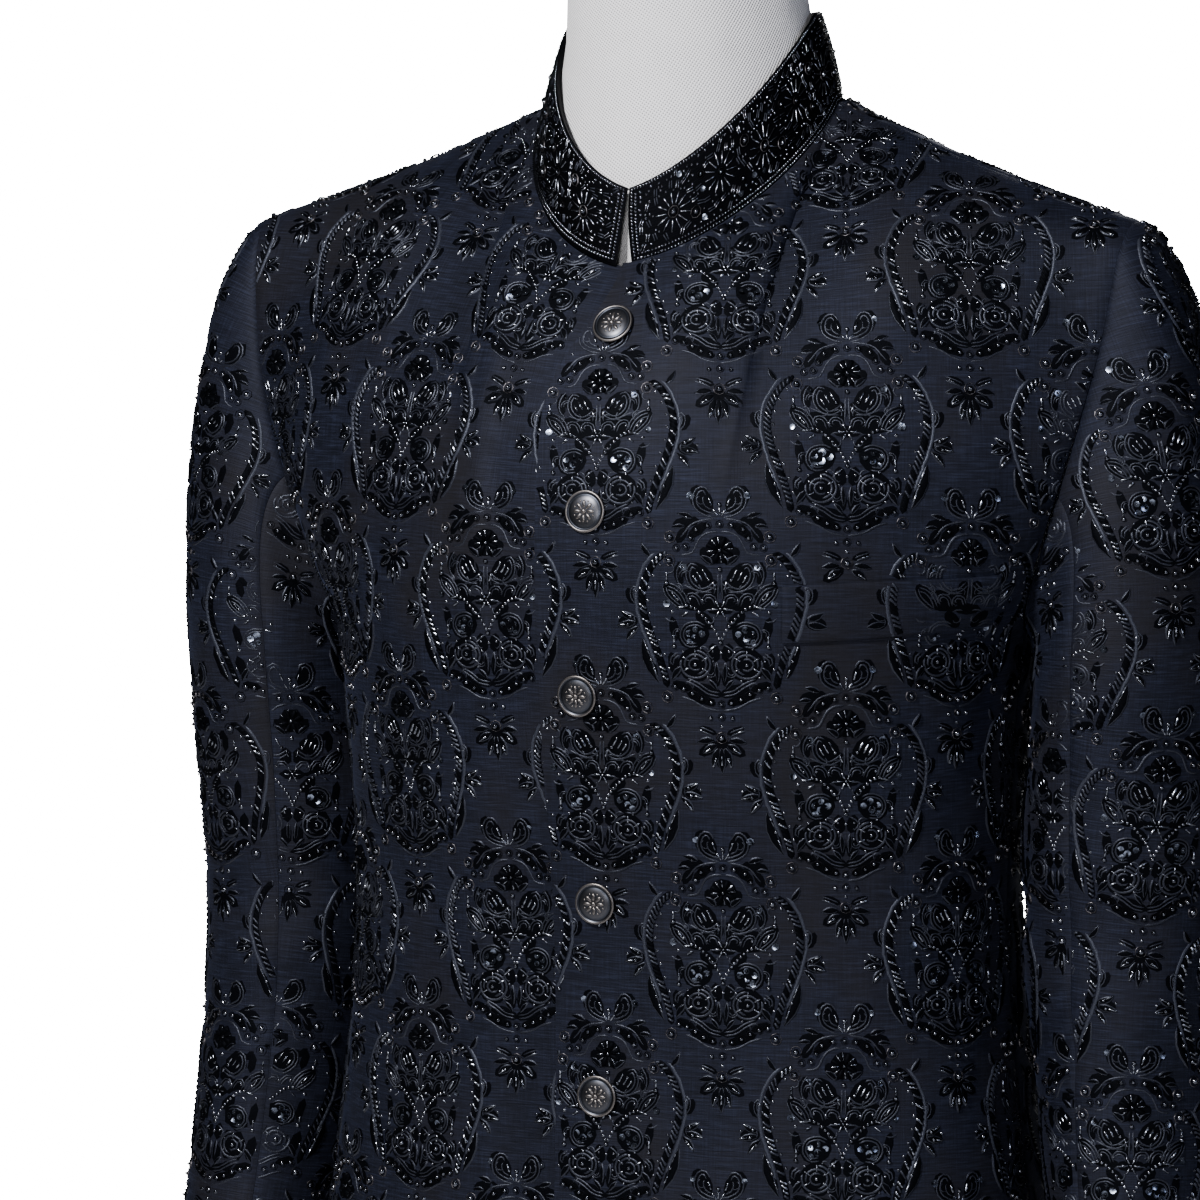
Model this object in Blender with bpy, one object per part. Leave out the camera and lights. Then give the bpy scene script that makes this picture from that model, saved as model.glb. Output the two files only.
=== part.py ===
"""Sherwani coat on a limbless dress form with a round stand.

Frame: +Z up, origin on the floor under the middle of the stand's base.
The wearer faces -Y, and the wearer's left is +X.  All sizes are metres.
"""

import math

import bmesh
import bpy
import numpy as np
from mathutils import Vector
from mathutils.bvhtree import BVHTree

# ---- driving sizes -------------------------------------------------------------------------
NECK_POINT_Z = 1.470  # where the shoulder seam meets the collar
HEM_Z = 0.420
ARMPIT_Z = NECK_POINT_Z - 0.262
CUFF_Z = 0.812

CLOTH = 0.002  # embroidered silk, interlining and lining together
SEAM_GAP = 0.0003
SHOULDER_SEAM = 0.0018  # share of the way up that the shoulder seam takes from each panel
OVERLAP = 0.024  # how far each front reaches past the centre line
OVERLAP_STEP = 0.0027  # how far the lower front lies under the upper one
TUCK_END = 0.062  # the lower front has come back to the upper one's surface here
TUCK_EASE = 0.016
OVERLAP_EASE = 0.075  # the front edge swings out to its full overlap over this height

NECK_HALF_WIDTH = 0.080
NECK_CENTRE_Y = 0.008
NECK_FRONT_DEPTH = 0.088
NECK_BACK_DEPTH = 0.058
NECK_FRONT_DROP = 0.080
NECK_BACK_RISE = 0.001
NECK_VEE = 0.07  # how far the neckline's front half is drawn from a level curve to a V
NECK_SHARE = 0.29  # share of the half chest that lies under the neckline
NECK_SPREAD = 0.18  # share over which the neck point's turn fades into the cloth below
NECK_SPREAD_STEPS = 9
SHARP_FROM = 0.45  # share of the way up from which the neck point's turn shows more and more
SLOPE_STEP = 0.010  # height over which the chest's slope at the armpit is taken
CHEST_LEAVE = 27  # how many such steps that slope carries on for above the armpit

SHOULDER_X = 0.239
SHOULDER_Y = 0.006
SHOULDER_DROP = 0.058
SHOULDER_SAG = 0.003

COLLAR_WALL = 0.003
COLLAR_BELLY = 0.0012
COLLAR_COLUMNS = 33
COLLAR_TOP_HALF_WIDTH = 0.0665
COLLAR_TOP_Y = 0.006
COLLAR_TOP_FRONT_DEPTH = 0.080
COLLAR_TOP_BACK_DEPTH = 0.062
COLLAR_HEIGHT_FRONT = 0.036
COLLAR_HEIGHT_SIDE = 0.043
COLLAR_POINT = 1.2  # how soon the band loses height towards its front ends
COLLAR_ROUNDING = 0.12  # how widely its top edge is rounded over the neck points
COLLAR_LIFT = 0.0016  # clears the edge of the cloth that carries the collar
COLLAR_SIDE_LIFT = 0.0022  # added on the shoulders, where that edge curves most
COLLAR_GAP_TOP = 0.0008  # half the gap between the collar's two ends
COLLAR_GAP_FOOT = 0.0045

BUTTON_RADIUS = 0.0100
BUTTON_HEIGHT = 0.0052
BUTTON_SHANK_RADIUS = 0.003
BUTTON_SHANK_HEIGHT = 0.0016
BUTTON_SPOTS = (
    # drop below the neck point, distance from the centre front to the wearer's left
    (0.1100, 0.0045),
    (0.2000, 0.0027),
    (0.2910, -0.0030),
    (0.3955, 0.0),
    (0.4930, -0.0008),
    (0.5900, 0.0),
    (0.6870, 0.0),
)
BUTTON_GAP = 0.0005

WELT_HEIGHT = 0.028
WELT_WALL = 0.0016
WELT_GAP = 0.0006  # the panel's flat facets stand this close under the welt
WELT_LOW_Z = NECK_POINT_Z - 0.262
WELT_SLOPE = 0.006  # the outer end stands this much higher
WELT_ARC = (0.100, 0.209)  # distances round the chest from the centre front
NORMAL_STEP = 0.004  # steps round and up over which a front's slope is taken
NORMAL_LEVEL = 0.01

FORM_FOOT_Z = 0.800
SHOULDER_CLEARANCE = 0.0028  # from the coat's outer side, so the cloth all but rests on it
SHOULDER_CLEARANCE_SLOPE = 0.12
NECK_CLEARANCE = 0.0016  # added beside the neck, where the cloth curves more
FORM_NECK_RADIUS = 0.0615
FORM_NECK_Y = 0.000
FORM_NECK_TOP_Z = 1.590
FORM_NECK_EDGE = 0.012  # rounding of the neck's top
NECK_GAP = 0.0028  # between the neck and the collar's lower half
FORM_FOOT_ROUND = 0.018
ARMHOLE_BULGE = 0.003  # the caps that close the form's armholes
POLE_RADIUS = 0.016
BASE_RADIUS = 0.190
BASE_HEIGHT = 0.012
BASE_BEVEL = 0.004

# height, half width, front depth, back depth, squareness of the coat's level sections
COAT_SECTIONS = (
    (HEM_Z, 0.262, 0.172, 0.188, 2.15),
    (0.620, 0.232, 0.146, 0.168, 2.20),
    (0.800, 0.206, 0.124, 0.152, 2.30),
    (0.900, 0.191, 0.113, 0.144, 2.35),
    (0.975, 0.182, 0.109, 0.137, 2.35),
    (1.070, 0.176, 0.112, 0.128, 2.30),
    (1.150, 0.179, 0.125, 0.125, 2.28),
    (ARMPIT_Z, 0.184, 0.131, 0.122, 2.25),
)

# height, clearance of the dress form from the coat's outer side
FORM_CLEARANCES = (
    (0.700, 0.016),
    (0.950, 0.014),
    (1.070, 0.013),
    (ARMPIT_Z, 0.009),
    (1.500, 0.009),
)

# share of the way up, x, y, height below the neck point, from the armpit to the shoulder
ARMHOLE_FRONT = (
    (0.00, 0.184, 0.000, 0.262),
    (0.14, 0.191, -0.021, 0.249),
    (0.30, 0.204, -0.033, 0.217),
    (0.50, 0.220, -0.036, 0.168),
    (0.70, 0.232, -0.030, 0.118),
    (0.86, 0.2375, -0.018, 0.0715),
    (0.95, 0.2390, -0.004, 0.0598),
    (1.00, SHOULDER_X, SHOULDER_Y, SHOULDER_DROP),
)
ARMHOLE_BACK = (
    (0.00, 0.184, 0.000, 0.262),
    (0.14, 0.189, 0.025, 0.249),
    (0.30, 0.199, 0.043, 0.213),
    (0.50, 0.215, 0.050, 0.163),
    (0.70, 0.229, 0.044, 0.113),
    (0.86, 0.2370, 0.031, 0.0700),
    (0.95, 0.2388, 0.016, 0.0598),
    (1.00, SHOULDER_X, SHOULDER_Y, SHOULDER_DROP),
)

# height, centre x, centre y, half width, half depth of the sleeve's level sections
SLEEVE_SECTIONS = (
    (1.185, 0.2375, 0.022, 0.0515, 0.068),
    (1.110, 0.2355, 0.026, 0.0500, 0.064),
    (1.030, 0.2350, 0.025, 0.0480, 0.060),
    (0.930, 0.2410, 0.014, 0.0455, 0.055),
    (CUFF_Z, 0.2530, -0.008, 0.0420, 0.049),
)

# Soft folds of the body: angle round the coat (0 centre front, 180 centre back),
# height, angular width, height span and depth (negative is a trough)
BODY_FOLDS = (
    (62, 1.235, 11, 0.075, -0.0022),
    (48, 1.130, 9, 0.070, -0.0014),
    (104, 1.080, 12, 0.080, -0.0018),
    (128, 1.190, 11, 0.090, -0.0020),
    (34, 0.760, 9, 0.240, 0.0034),
    (68, 0.640, 11, 0.230, 0.0042),
    (108, 0.650, 12, 0.240, 0.0048),
    (146, 0.690, 11, 0.260, 0.0044),
)
# Soft folds of a sleeve: angle round it (0 inner side, 90 front, 180 outer side),
# height, angular width, height span, depth, and lean in degrees for each metre of height
SLEEVE_FOLDS = (
    (120, 1.290, 20, 0.075, -0.0026, 160),
    (96, 1.060, 30, 0.020, -0.0030, 500),
    (70, 1.000, 34, 0.018, -0.0026, -450),
    (150, 1.140, 24, 0.050, 0.0018, 260),
    (240, 1.050, 34, 0.024, -0.0030, -400),
    (215, 1.200, 22, 0.070, -0.0022, -160),
)

FRONT, BACK = -1, 1
# Direction and pull with which the body's cloth reaches the neckline's middle and the
# shoulder seam, and what is added beside the neck, where the front climbs to a ridge
NECK_ARRIVAL = {FRONT: np.array([0, 0.10, 0.12]), BACK: np.array([0, -0.14, 0.12])}
SEAM_ARRIVAL = {FRONT: np.array([0, 0.27, 0]), BACK: np.array([0, -0.27, 0])}
RIDGE_RISE = {FRONT: 0.24, BACK: -0.05}
# Direction and pull with which the sleeve leaves the armhole
HEAD_PULL_TOP = np.array([0.098, 0, -0.030])
HEAD_PULL_UNDER = np.array([0.006, 0, -0.040])
HEAD_PULL_FRONT = np.array([0.055, -0.030, -0.030])
HEAD_PULL_BEHIND = np.array([0.050, 0.030, -0.030])

SLEEVE_SEAM = 0.0016  # share of the way round that a sleeve seam's gap takes
SLEEVE_EDGE = 0.012  # share of the way round between a sleeve's last two columns
SLEEVE_OFF = 0.0010  # the sleeve's edge stands this far off the armhole's edge
ARC_STEPS = 96
HALVINGS = 30
MERGE = 0.00002  # corners nearer than this are one
LOWER_ROWS = 14
EDGE_COLUMN = 0.985  # the last column but one keeps a seam's edge square to the cloth


# ---- curves and sections -------------------------------------------------------------------
def smooth_table(x, table, column):
    """A column of a table at x, along a smooth curve through its rows."""
    xs = [row[0] for row in table]
    ys = [row[column] for row in table]
    slopes = np.gradient(ys, xs)
    k = int(np.clip(np.searchsorted(xs, x) - 1, 0, len(xs) - 2))
    span = xs[k + 1] - xs[k]
    t = (x - xs[k]) / span
    return hermite(ys[k], slopes[k] * span, ys[k + 1], slopes[k + 1] * span, t)


def hermite(start, leave, end, arrive, t):
    """A cubic from start to end with the given end slopes."""
    return (
        (2 * t**3 - 3 * t**2 + 1) * start
        + (t**3 - 2 * t**2 + t) * leave
        + (3 * t**2 - 2 * t**3) * end
        + (t**3 - t**2) * arrive
    )


def ease(x):
    """0 below 0, 1 above 1, and smooth between."""
    x = np.clip(x, 0.0, 1.0)
    return x * x * (3 - 2 * x)


def quarter(width, depth, square):
    """A quarter of a rounded section from its middle to its side, and lengths along it."""
    t = np.linspace(0, math.pi / 2, ARC_STEPS + 1)
    x = width * np.sin(t) ** (2 / square)
    y = depth * np.clip(np.cos(t), 0, 1) ** (2 / square)
    steps = np.hypot(np.diff(x), np.diff(y))
    return x, y, np.concatenate([[0.0], np.cumsum(steps)])


def coat_quarter(half, z):
    """The quarter section of the coat's front or back at height z."""
    depth_column = 2 if half == FRONT else 3
    table = COAT_SECTIONS
    return quarter(
        smooth_table(z, table, 1), smooth_table(z, table, depth_column), smooth_table(z, table, 4)
    )


def level_row(half, z, share):
    """Points at height z, at signed shares of the way from the middle to the side."""
    x, y, length = coat_quarter(half, z)
    at = np.abs(share) * length[-1]
    points = np.empty((len(share), 3))
    points[:, 0] = np.sign(share) * np.interp(at, length, x)
    points[:, 1] = half * np.interp(at, length, y)
    points[:, 2] = z
    return points


def neckline(turn):
    """The coat's neckline; turn is 0 at the centre front and pi at the centre back."""
    cos, sin = np.cos(turn), np.sin(turn)
    depth = np.where(cos > 0, NECK_FRONT_DEPTH, NECK_BACK_DEPTH)
    behind = np.clip(turn - math.pi / 2, 0, None)
    slope = NECK_FRONT_DROP * (1 - 2 * NECK_VEE)
    rise = NECK_BACK_RISE * np.tanh(slope * behind / NECK_BACK_RISE)
    fall = np.clip(cos, 0, None) * (1 - 2 * NECK_VEE * sin)
    z = NECK_POINT_Z - NECK_FRONT_DROP * fall + rise
    return np.stack([NECK_HALF_WIDTH * sin, NECK_CENTRE_Y - depth * cos, z], axis=-1)


def top_row(half, share):
    """The neckline and shoulder seam, and the direction in which the cloth arrives there."""
    out = np.abs(share)
    under_neck = np.clip(out / NECK_SHARE, 0, 1)
    turn = np.arcsin(under_neck)
    points = neckline(turn if half == FRONT else math.pi - turn)
    middle = np.cos(turn)[:, None] ** 2
    along = np.maximum((out - NECK_SHARE) / (1 - NECK_SHARE), 0)[:, None]
    neck_point = neckline(np.array(math.pi / 2))
    shoulder = np.array([SHOULDER_X, SHOULDER_Y, NECK_POINT_Z - SHOULDER_DROP])
    seam = neck_point + (shoulder - neck_point) * along
    seam[:, 2] -= SHOULDER_SAG * np.sin(math.pi * along[:, 0])
    points = np.where(along > 0, seam, points)
    at_seam = SEAM_ARRIVAL[half] + np.array([0, 0, RIDGE_RISE[half]]) * (1 - along) ** 2
    arrive = at_seam + (NECK_ARRIVAL[half] - at_seam) * middle
    points[:, 0] *= np.where(share < 0, -1, 1)
    return points, arrive


def armhole(half, up):
    """The armhole's edge at a share of the way up from the armpit."""
    table = ARMHOLE_FRONT if half == FRONT else ARMHOLE_BACK
    x, y, drop = (smooth_table(up, table, column) for column in (1, 2, 3))
    return np.array([x, y, NECK_POINT_Z - drop])


def soft_top_row(half, up, share):
    """The top row as it pulls on the cloth at a share of the way up to it.

    Its sharp turn at the neck point is spread over more of the cloth lower down.
    """
    weights = np.hanning(NECK_SPREAD_STEPS + 2)[1:-1]
    offsets = np.linspace(-NECK_SPREAD, NECK_SPREAD, NECK_SPREAD_STEPS)
    soft = sum(w * np.array(top_row(half, share + o)) for w, o in zip(weights, offsets))
    soft /= weights.sum()
    sharp = np.array(top_row(half, share))
    return soft + (sharp - soft) * ease((up - SHARP_FROM) / (1 - SHARP_FROM))


def loft_row(half, up, share):
    """Points between the armpit's level and the top, before they are drawn to the armhole."""
    start = level_row(half, ARMPIT_Z, share)
    leave = (start - level_row(half, ARMPIT_Z - SLOPE_STEP, share)) * CHEST_LEAVE
    end, arrive = soft_top_row(half, up, share)
    return hermite(start, leave, end, arrive, up)


def upper_row(half, up, share):
    """Points between the armpit's level and the top, at a share of the way up."""
    points = loft_row(half, up, share)
    side = loft_row(half, up, np.array([1.0]))[0]
    pull = (armhole(half, up) - side) * ease((np.abs(share)[:, None] - 0.5) / 0.5)
    pull[:, 0] *= np.where(share < 0, -1, 1)
    return points + pull


def coat_row(half, level, share):
    """A row of the coat: level runs from 0 at the hem to 1 at the armpit and 2 at the top."""
    if level <= 1:
        return level_row(half, HEM_Z + (ARMPIT_Z - HEM_Z) * level, share)
    return upper_row(half, level - 1, share)


def fold_depth(points):
    """How far the body's soft folds lift or sink each point."""
    angle = np.degrees(np.abs(np.arctan2(points[:, 0], -points[:, 1])))
    depth = np.zeros(len(points))
    for at, z, width, span, lift in BODY_FOLDS:
        away = ((angle - at) / width) ** 2 + ((points[:, 2] - z) / span) ** 2
        depth += lift * np.exp(-away)
    return depth


# ---- mesh tools ----------------------------------------------------------------------------
def material(name, colour, roughness, metallic=0.0):
    """A plain finish."""
    made = bpy.data.materials.new(name)
    made.use_nodes = True
    shader = made.node_tree.nodes["Principled BSDF"]
    shader.inputs["Base Color"].default_value = (*colour, 1)
    shader.inputs["Roughness"].default_value = roughness
    shader.inputs["Metallic"].default_value = metallic
    return made


def new_object(name, mesh, finish):
    """Links a mesh as a named object with one finish."""
    mesh.materials.append(finish)
    mesh.shade_smooth()
    made = bpy.data.objects.new(name, mesh)
    bpy.context.scene.collection.objects.link(made)
    return made


def grid_mesh(name, rows, closed=False):
    """A sheet of quads through rows of points; closed joins each row's end to its start."""
    rows = np.asarray(rows)
    down, across = rows.shape[:2]
    body = bmesh.new()
    verts = [body.verts.new(p) for p in rows.reshape(-1, 3)]
    for i in range(down - 1):
        for j in range(across if closed else across - 1):
            k = (j + 1) % across
            corners = (i * across + j, i * across + k, (i + 1) * across + k, (i + 1) * across + j)
            body.faces.new([verts[c] for c in corners])
    mesh = bpy.data.meshes.new(name)
    body.to_mesh(mesh)
    body.free()
    return mesh


def turned_mesh(name, profile, steps):
    """A closed skin turned about Z from (radius, height) points that start and end on the axis."""
    body = bmesh.new()
    verts = [body.verts.new((radius, 0, z)) for radius, z in profile]
    edges = [body.edges.new(pair) for pair in zip(verts, verts[1:])]
    whole_turn = {"axis": (0, 0, 1), "cent": (0, 0, 0), "angle": 2 * math.pi, "steps": steps}
    bmesh.ops.spin(body, geom=verts + edges, use_merge=True, **whole_turn)
    bmesh.ops.remove_doubles(body, verts=body.verts, dist=MERGE)
    bmesh.ops.recalc_face_normals(body, faces=body.faces)
    mesh = bpy.data.meshes.new(name)
    body.to_mesh(mesh)
    body.free()
    return mesh


def thicken(obj, wall):
    """Gives a sheet its wall, on the inner side."""
    modifier = obj.modifiers.new("wall", "SOLIDIFY")
    modifier.thickness = wall
    modifier.offset = -1
    return obj


def row_normals(rows):
    """Outward unit normals of a grid of rows that runs up, with columns turning to +X."""
    rows = np.asarray(rows)
    across = np.gradient(rows, axis=1)
    upward = np.gradient(rows, axis=0)
    normals = np.cross(across, upward)
    return normals / np.linalg.norm(normals, axis=-1, keepdims=True)


def mirrored(rows):
    """The same grid on the other side of the wearer, still facing outwards."""
    flipped = np.asarray(rows)[:, ::-1].copy()
    flipped[..., 0] *= -1
    return flipped


# ---- body panels ---------------------------------------------------------------------------
def body_levels():
    """Rows from the hem to the top edge, closer together above the armpit."""
    lower = np.linspace(0, 1, LOWER_ROWS)
    upper = 1 + np.array([0.10, 0.22, 0.35, 0.48, 0.61, 0.74, 0.87, 0.97, 1 - SHOULDER_SEAM])
    return np.concatenate([lower, upper])


def body_shares():
    """Columns from the middle to the side, closer together under the neckline's curve."""
    under_neck = NECK_SHARE * np.array([0, 0.05, 0.30, 0.56, 0.78, 0.94, 1])
    outer = np.linspace(NECK_SHARE, EDGE_COLUMN, 8)
    return np.concatenate([under_neck, outer[1:], [1.0]])


def panel_rows(half, past_middle, seam=SEAM_GAP / 2):
    """A body panel on the wearer's left; past_middle gives the edge beyond the middle."""
    rows = []
    for level in body_levels():
        z = coat_row(half, level, np.array([0.0]))[0, 2]
        length = coat_quarter(half, min(z, ARMPIT_Z))[2][-1]
        first = -past_middle(z) / length
        last = 1 - seam / length
        shares = first + body_shares() * (last - first)
        row = coat_row(half, level, shares)
        rows.append(row)
    rows = np.array(rows)
    lift = np.array([fold_depth(row) for row in rows])
    across = ease(body_shares() / 0.06) * ease((EDGE_COLUMN - body_shares()) / 0.1)
    up = np.minimum(1, (2 - body_levels()) / 0.3)[:, None]
    # the columns run to +X on the back too, so there the grid's normals point inwards
    return rows - half * row_normals(rows) * (lift * across * up)[..., None]


def front_edge(z):
    """How far the front edge lies past the centre line at height z."""
    neck_front = NECK_POINT_Z - NECK_FRONT_DROP
    return OVERLAP * ease((neck_front - z) / OVERLAP_EASE)


def tuck_under(rows):
    """Sinks the part of a front that the other front covers."""
    inward = -row_normals(rows)
    depth = ease((TUCK_END - rows[..., 0]) / TUCK_EASE) * OVERLAP_STEP
    return rows + inward * depth[..., None]


def body_panels(silk):
    """The two fronts and the two backs."""
    front = panel_rows(FRONT, front_edge)
    back = panel_rows(BACK, lambda z: -SEAM_GAP / 2)
    rows = {
        "front_left": front,
        "front_right": mirrored(tuck_under(front)),
        "back_left": back[:, ::-1],
        "back_right": mirrored(back[:, ::-1]),
    }
    for name, points in rows.items():
        thicken(new_object(name, grid_mesh(name, points), silk), CLOTH)


# ---- sleeves -------------------------------------------------------------------------------
def armhole_point(turn):
    """The armhole at a turn of 0 under the arm, 0.25 in front, 0.5 on top and 0.75 behind."""
    turn = turn % 1.0
    if turn <= 0.5:
        return armhole(FRONT, 2 * turn)
    return armhole(BACK, 2 * (1 - turn))


def sleeve_section(z, turn):
    """The sleeve's level section at height z."""
    table = SLEEVE_SECTIONS[::-1]
    x, y, width, depth = (smooth_table(z, table, column) for column in (1, 2, 3, 4))
    angle = 2 * math.pi * turn
    return np.array([x - width * math.cos(angle), y - depth * math.sin(angle), z])


def sleeve_leave(turn):
    """The direction in which the sleeve leaves the armhole."""
    cos, sin = math.cos(2 * math.pi * turn), math.sin(2 * math.pi * turn)
    top, under = max(0.0, -cos), max(0.0, cos)
    front, behind = max(0.0, sin), max(0.0, -sin)
    upright = top * HEAD_PULL_TOP + under * HEAD_PULL_UNDER
    return upright + front * HEAD_PULL_FRONT + behind * HEAD_PULL_BEHIND


def sleeve_fold(z, turn):
    """How far the sleeve's soft folds lift or sink a point."""
    depth = 0.0
    for at, height, width, span, lift, lean in SLEEVE_FOLDS:
        middle = at + lean * (z - height)
        away = (math.degrees(2 * math.pi * turn) - middle + 180) % 360 - 180
        depth += lift * math.exp(-((away / width) ** 2) - ((z - height) / span) ** 2)
    return depth


def sleeve_point(down, turn):
    """A point of the left sleeve: down is 0 at the armhole, 1 at the biceps, 2 at the cuff."""
    top = SLEEVE_SECTIONS[0][0]
    if down > 1:
        z = top + (CUFF_Z - top) * (down - 1)
        point = sleeve_section(z, turn)
        lift = sleeve_fold(z, turn)
    else:
        start = armhole_point(turn)
        leave = sleeve_leave(turn)
        start = start + leave / np.linalg.norm(leave) * SLEEVE_OFF
        end = sleeve_section(top, turn)
        slope = (sleeve_section(top - SLOPE_STEP, turn) - end) / SLOPE_STEP
        point = hermite(start, leave, end, slope * (start[2] - top), down)
        lift = sleeve_fold(point[2], turn) * ease(down / 0.25)
    angle = 2 * math.pi * turn
    outward = np.array([-math.cos(angle), -math.sin(angle), 0])
    return point + outward * lift


def sleeve_rows(first_turn, last_turn, columns):
    """A part of the sleeve from the cuff up, with its seam gaps."""
    downs = np.concatenate([np.linspace(2, 1, 8), [0.86, 0.70, 0.52, 0.36, 0.22, 0.10, 0.0]])
    gap = SLEEVE_SEAM / 2
    inner = np.linspace(first_turn + SLEEVE_EDGE, last_turn - SLEEVE_EDGE, columns)
    turns = np.concatenate([[first_turn + gap], inner, [last_turn - gap]])
    return np.array([[sleeve_point(down, turn) for turn in turns] for down in downs])


def sleeves(silk):
    """Each sleeve is cut as a top sleeve and an under sleeve."""
    parts = {"top": sleeve_rows(0.20, 0.80, 15), "under": sleeve_rows(-0.20, 0.20, 9)}
    for part, rows in parts.items():
        left = f"sleeve_left_{part}"
        right = f"sleeve_right_{part}"
        thicken(new_object(left, grid_mesh(left, rows), silk), CLOTH)
        thicken(new_object(right, grid_mesh(right, mirrored(rows)), silk), CLOTH)


# ---- collar, welt and buttons --------------------------------------------------------------
def collar_row(up, turn, inward=0.0):
    """The standing band at a share of its height; turn runs from 0 in front round to 2 pi."""
    foot = neckline(np.where(turn > math.pi, 2 * math.pi - turn, turn))
    foot[:, 0] *= np.where(turn > math.pi, -1, 1)
    foot[:, 2] += COLLAR_LIFT + COLLAR_SIDE_LIFT * np.sin(turn) ** 2
    front = np.where(np.cos(turn) > 0, 1 - np.abs(np.sin(turn)), 0) ** COLLAR_POINT
    height = COLLAR_HEIGHT_SIDE + (COLLAR_HEIGHT_FRONT - COLLAR_HEIGHT_SIDE) * front
    fall = np.cos(turn) * (1 - 2 * NECK_VEE * np.abs(np.sin(turn)))
    rounded = (fall + np.hypot(fall, COLLAR_ROUNDING)) / 2
    height -= NECK_FRONT_DROP * (rounded - np.maximum(fall, 0))
    top_x = COLLAR_TOP_HALF_WIDTH * np.sin(turn)
    depth = np.where(np.cos(turn) > 0, COLLAR_TOP_FRONT_DEPTH, COLLAR_TOP_BACK_DEPTH)
    top = np.stack([top_x, COLLAR_TOP_Y - depth * np.cos(turn), foot[:, 2] + height], axis=1)
    row = foot + (top - foot) * up
    outward = COLLAR_BELLY * math.sin(math.pi * up) - inward
    row[:, 0] += outward * np.sin(turn)
    row[:, 1] -= outward * np.cos(turn)
    return row


def collar_rows():
    """The band from its foot up, from one front end round to the other."""
    rows = []
    for up in (0.0, 0.5, 1.0):
        gap = COLLAR_GAP_FOOT + (COLLAR_GAP_TOP - COLLAR_GAP_FOOT) * up
        start = math.asin(gap / NECK_HALF_WIDTH)
        rows.append(collar_row(up, np.linspace(start, 2 * math.pi - start, COLLAR_COLUMNS)))
    return np.array(rows)


def collar(velvet):
    """The collar band."""
    thicken(new_object("collar", grid_mesh("collar", collar_rows()), velvet), COLLAR_WALL)


def left_front_point(z, arc, out):
    """A point on the left front at a distance round the chest, moved out from the cloth."""
    level = (z - HEM_Z) / (ARMPIT_Z - HEM_Z)
    if level > 1:
        low, high = 0.0, 1.0
        length = coat_quarter(FRONT, ARMPIT_Z)[2][-1]
        for _ in range(HALVINGS):
            middle = (low + high) / 2
            if upper_row(FRONT, middle, np.array([arc / length]))[0, 2] < z:
                low = middle
            else:
                high = middle
        level = 1 + low
    else:
        length = coat_quarter(FRONT, z)[2][-1]
    around = np.array([arc - NORMAL_STEP, arc, arc + NORMAL_STEP]) / length
    rows = [coat_row(FRONT, level + step, around) for step in (-NORMAL_LEVEL, 0, NORMAL_LEVEL)]
    lifted = [row + row_lift(row) for row in rows]
    normal = np.cross(lifted[1][2] - lifted[1][0], lifted[2][1] - lifted[0][1])
    normal /= np.linalg.norm(normal)
    return lifted[1][1] + normal * out, normal


def row_lift(row):
    """The folds' lift as a move away from the body's axis."""
    outward = row * np.array([1, 1, 0])
    outward /= np.linalg.norm(outward, axis=1)[:, None]
    return outward * fold_depth(row)[:, None]


def breast_welt(silk):
    """The welt of the breast pocket, laid on the left front."""
    rows = []
    for up in np.linspace(0, 1, 3):
        row = []
        for along in np.linspace(0, 1, 9):
            arc = WELT_ARC[0] + (WELT_ARC[1] - WELT_ARC[0]) * along
            z = WELT_LOW_Z + WELT_HEIGHT * up + WELT_SLOPE * along
            point, _ = left_front_point(z, arc, WELT_GAP + WELT_WALL)
            row.append(point)
        rows.append(row)
    thicken(new_object("breast_welt", grid_mesh("breast_welt", rows), silk), WELT_WALL)


def button_mesh(name):
    """A domed metal button with a rolled rim, turned about its own axis, foot at the origin."""
    rim = BUTTON_RADIUS
    back = BUTTON_SHANK_HEIGHT
    profile = (
        (0, 0),
        (BUTTON_SHANK_RADIUS, 0),
        (BUTTON_SHANK_RADIUS, back),
        (0.90 * rim, back + 0.08 * BUTTON_HEIGHT),
        (rim, back + 0.27 * BUTTON_HEIGHT),
        (0.96 * rim, back + 0.50 * BUTTON_HEIGHT),
        (0.86 * rim, back + 0.50 * BUTTON_HEIGHT),
        (0.55 * rim, back + 0.77 * BUTTON_HEIGHT),
        (0, back + 0.88 * BUTTON_HEIGHT),
    )
    return turned_mesh(name, profile, 16)


def buttons(metal):
    """The row of buttons down the centre front, each square to the cloth under it."""
    bpy.context.view_layer.update()
    graph = bpy.context.evaluated_depsgraph_get()
    front = BVHTree.FromObject(bpy.data.objects["front_left"], graph)
    for number, (drop, aside) in enumerate(BUTTON_SPOTS, start=1):
        name = f"button_{number}"
        point, normal = left_front_point(NECK_POINT_Z - drop, aside, 0.0)
        above = Vector(point + normal * 3 * BUTTON_RADIUS)
        hit, facing = front.ray_cast(above, Vector(-normal))[:2]
        made = new_object(name, button_mesh(name), metal)
        made.location = hit + facing * BUTTON_GAP
        made.rotation_euler = facing.to_track_quat("Z", "Y").to_euler()


# ---- dress form and stand ------------------------------------------------------------------
def form_inset(point):
    """How far the form lies inside the coat's outer side: close only along the shoulders."""
    heights = [row[0] for row in FORM_CLEARANCES]
    body = float(np.interp(point.z, heights, [row[1] for row in FORM_CLEARANCES]))
    from_seam = abs(point.y - SHOULDER_Y)
    beside_neck = ease((0.130 - abs(point.x)) / 0.040) * NECK_CLEARANCE
    on_shoulder = SHOULDER_CLEARANCE + beside_neck + SHOULDER_CLEARANCE_SLOPE * from_seam
    return min(body, on_shoulder) if point.z > ARMPIT_Z + 0.08 else body


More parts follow.
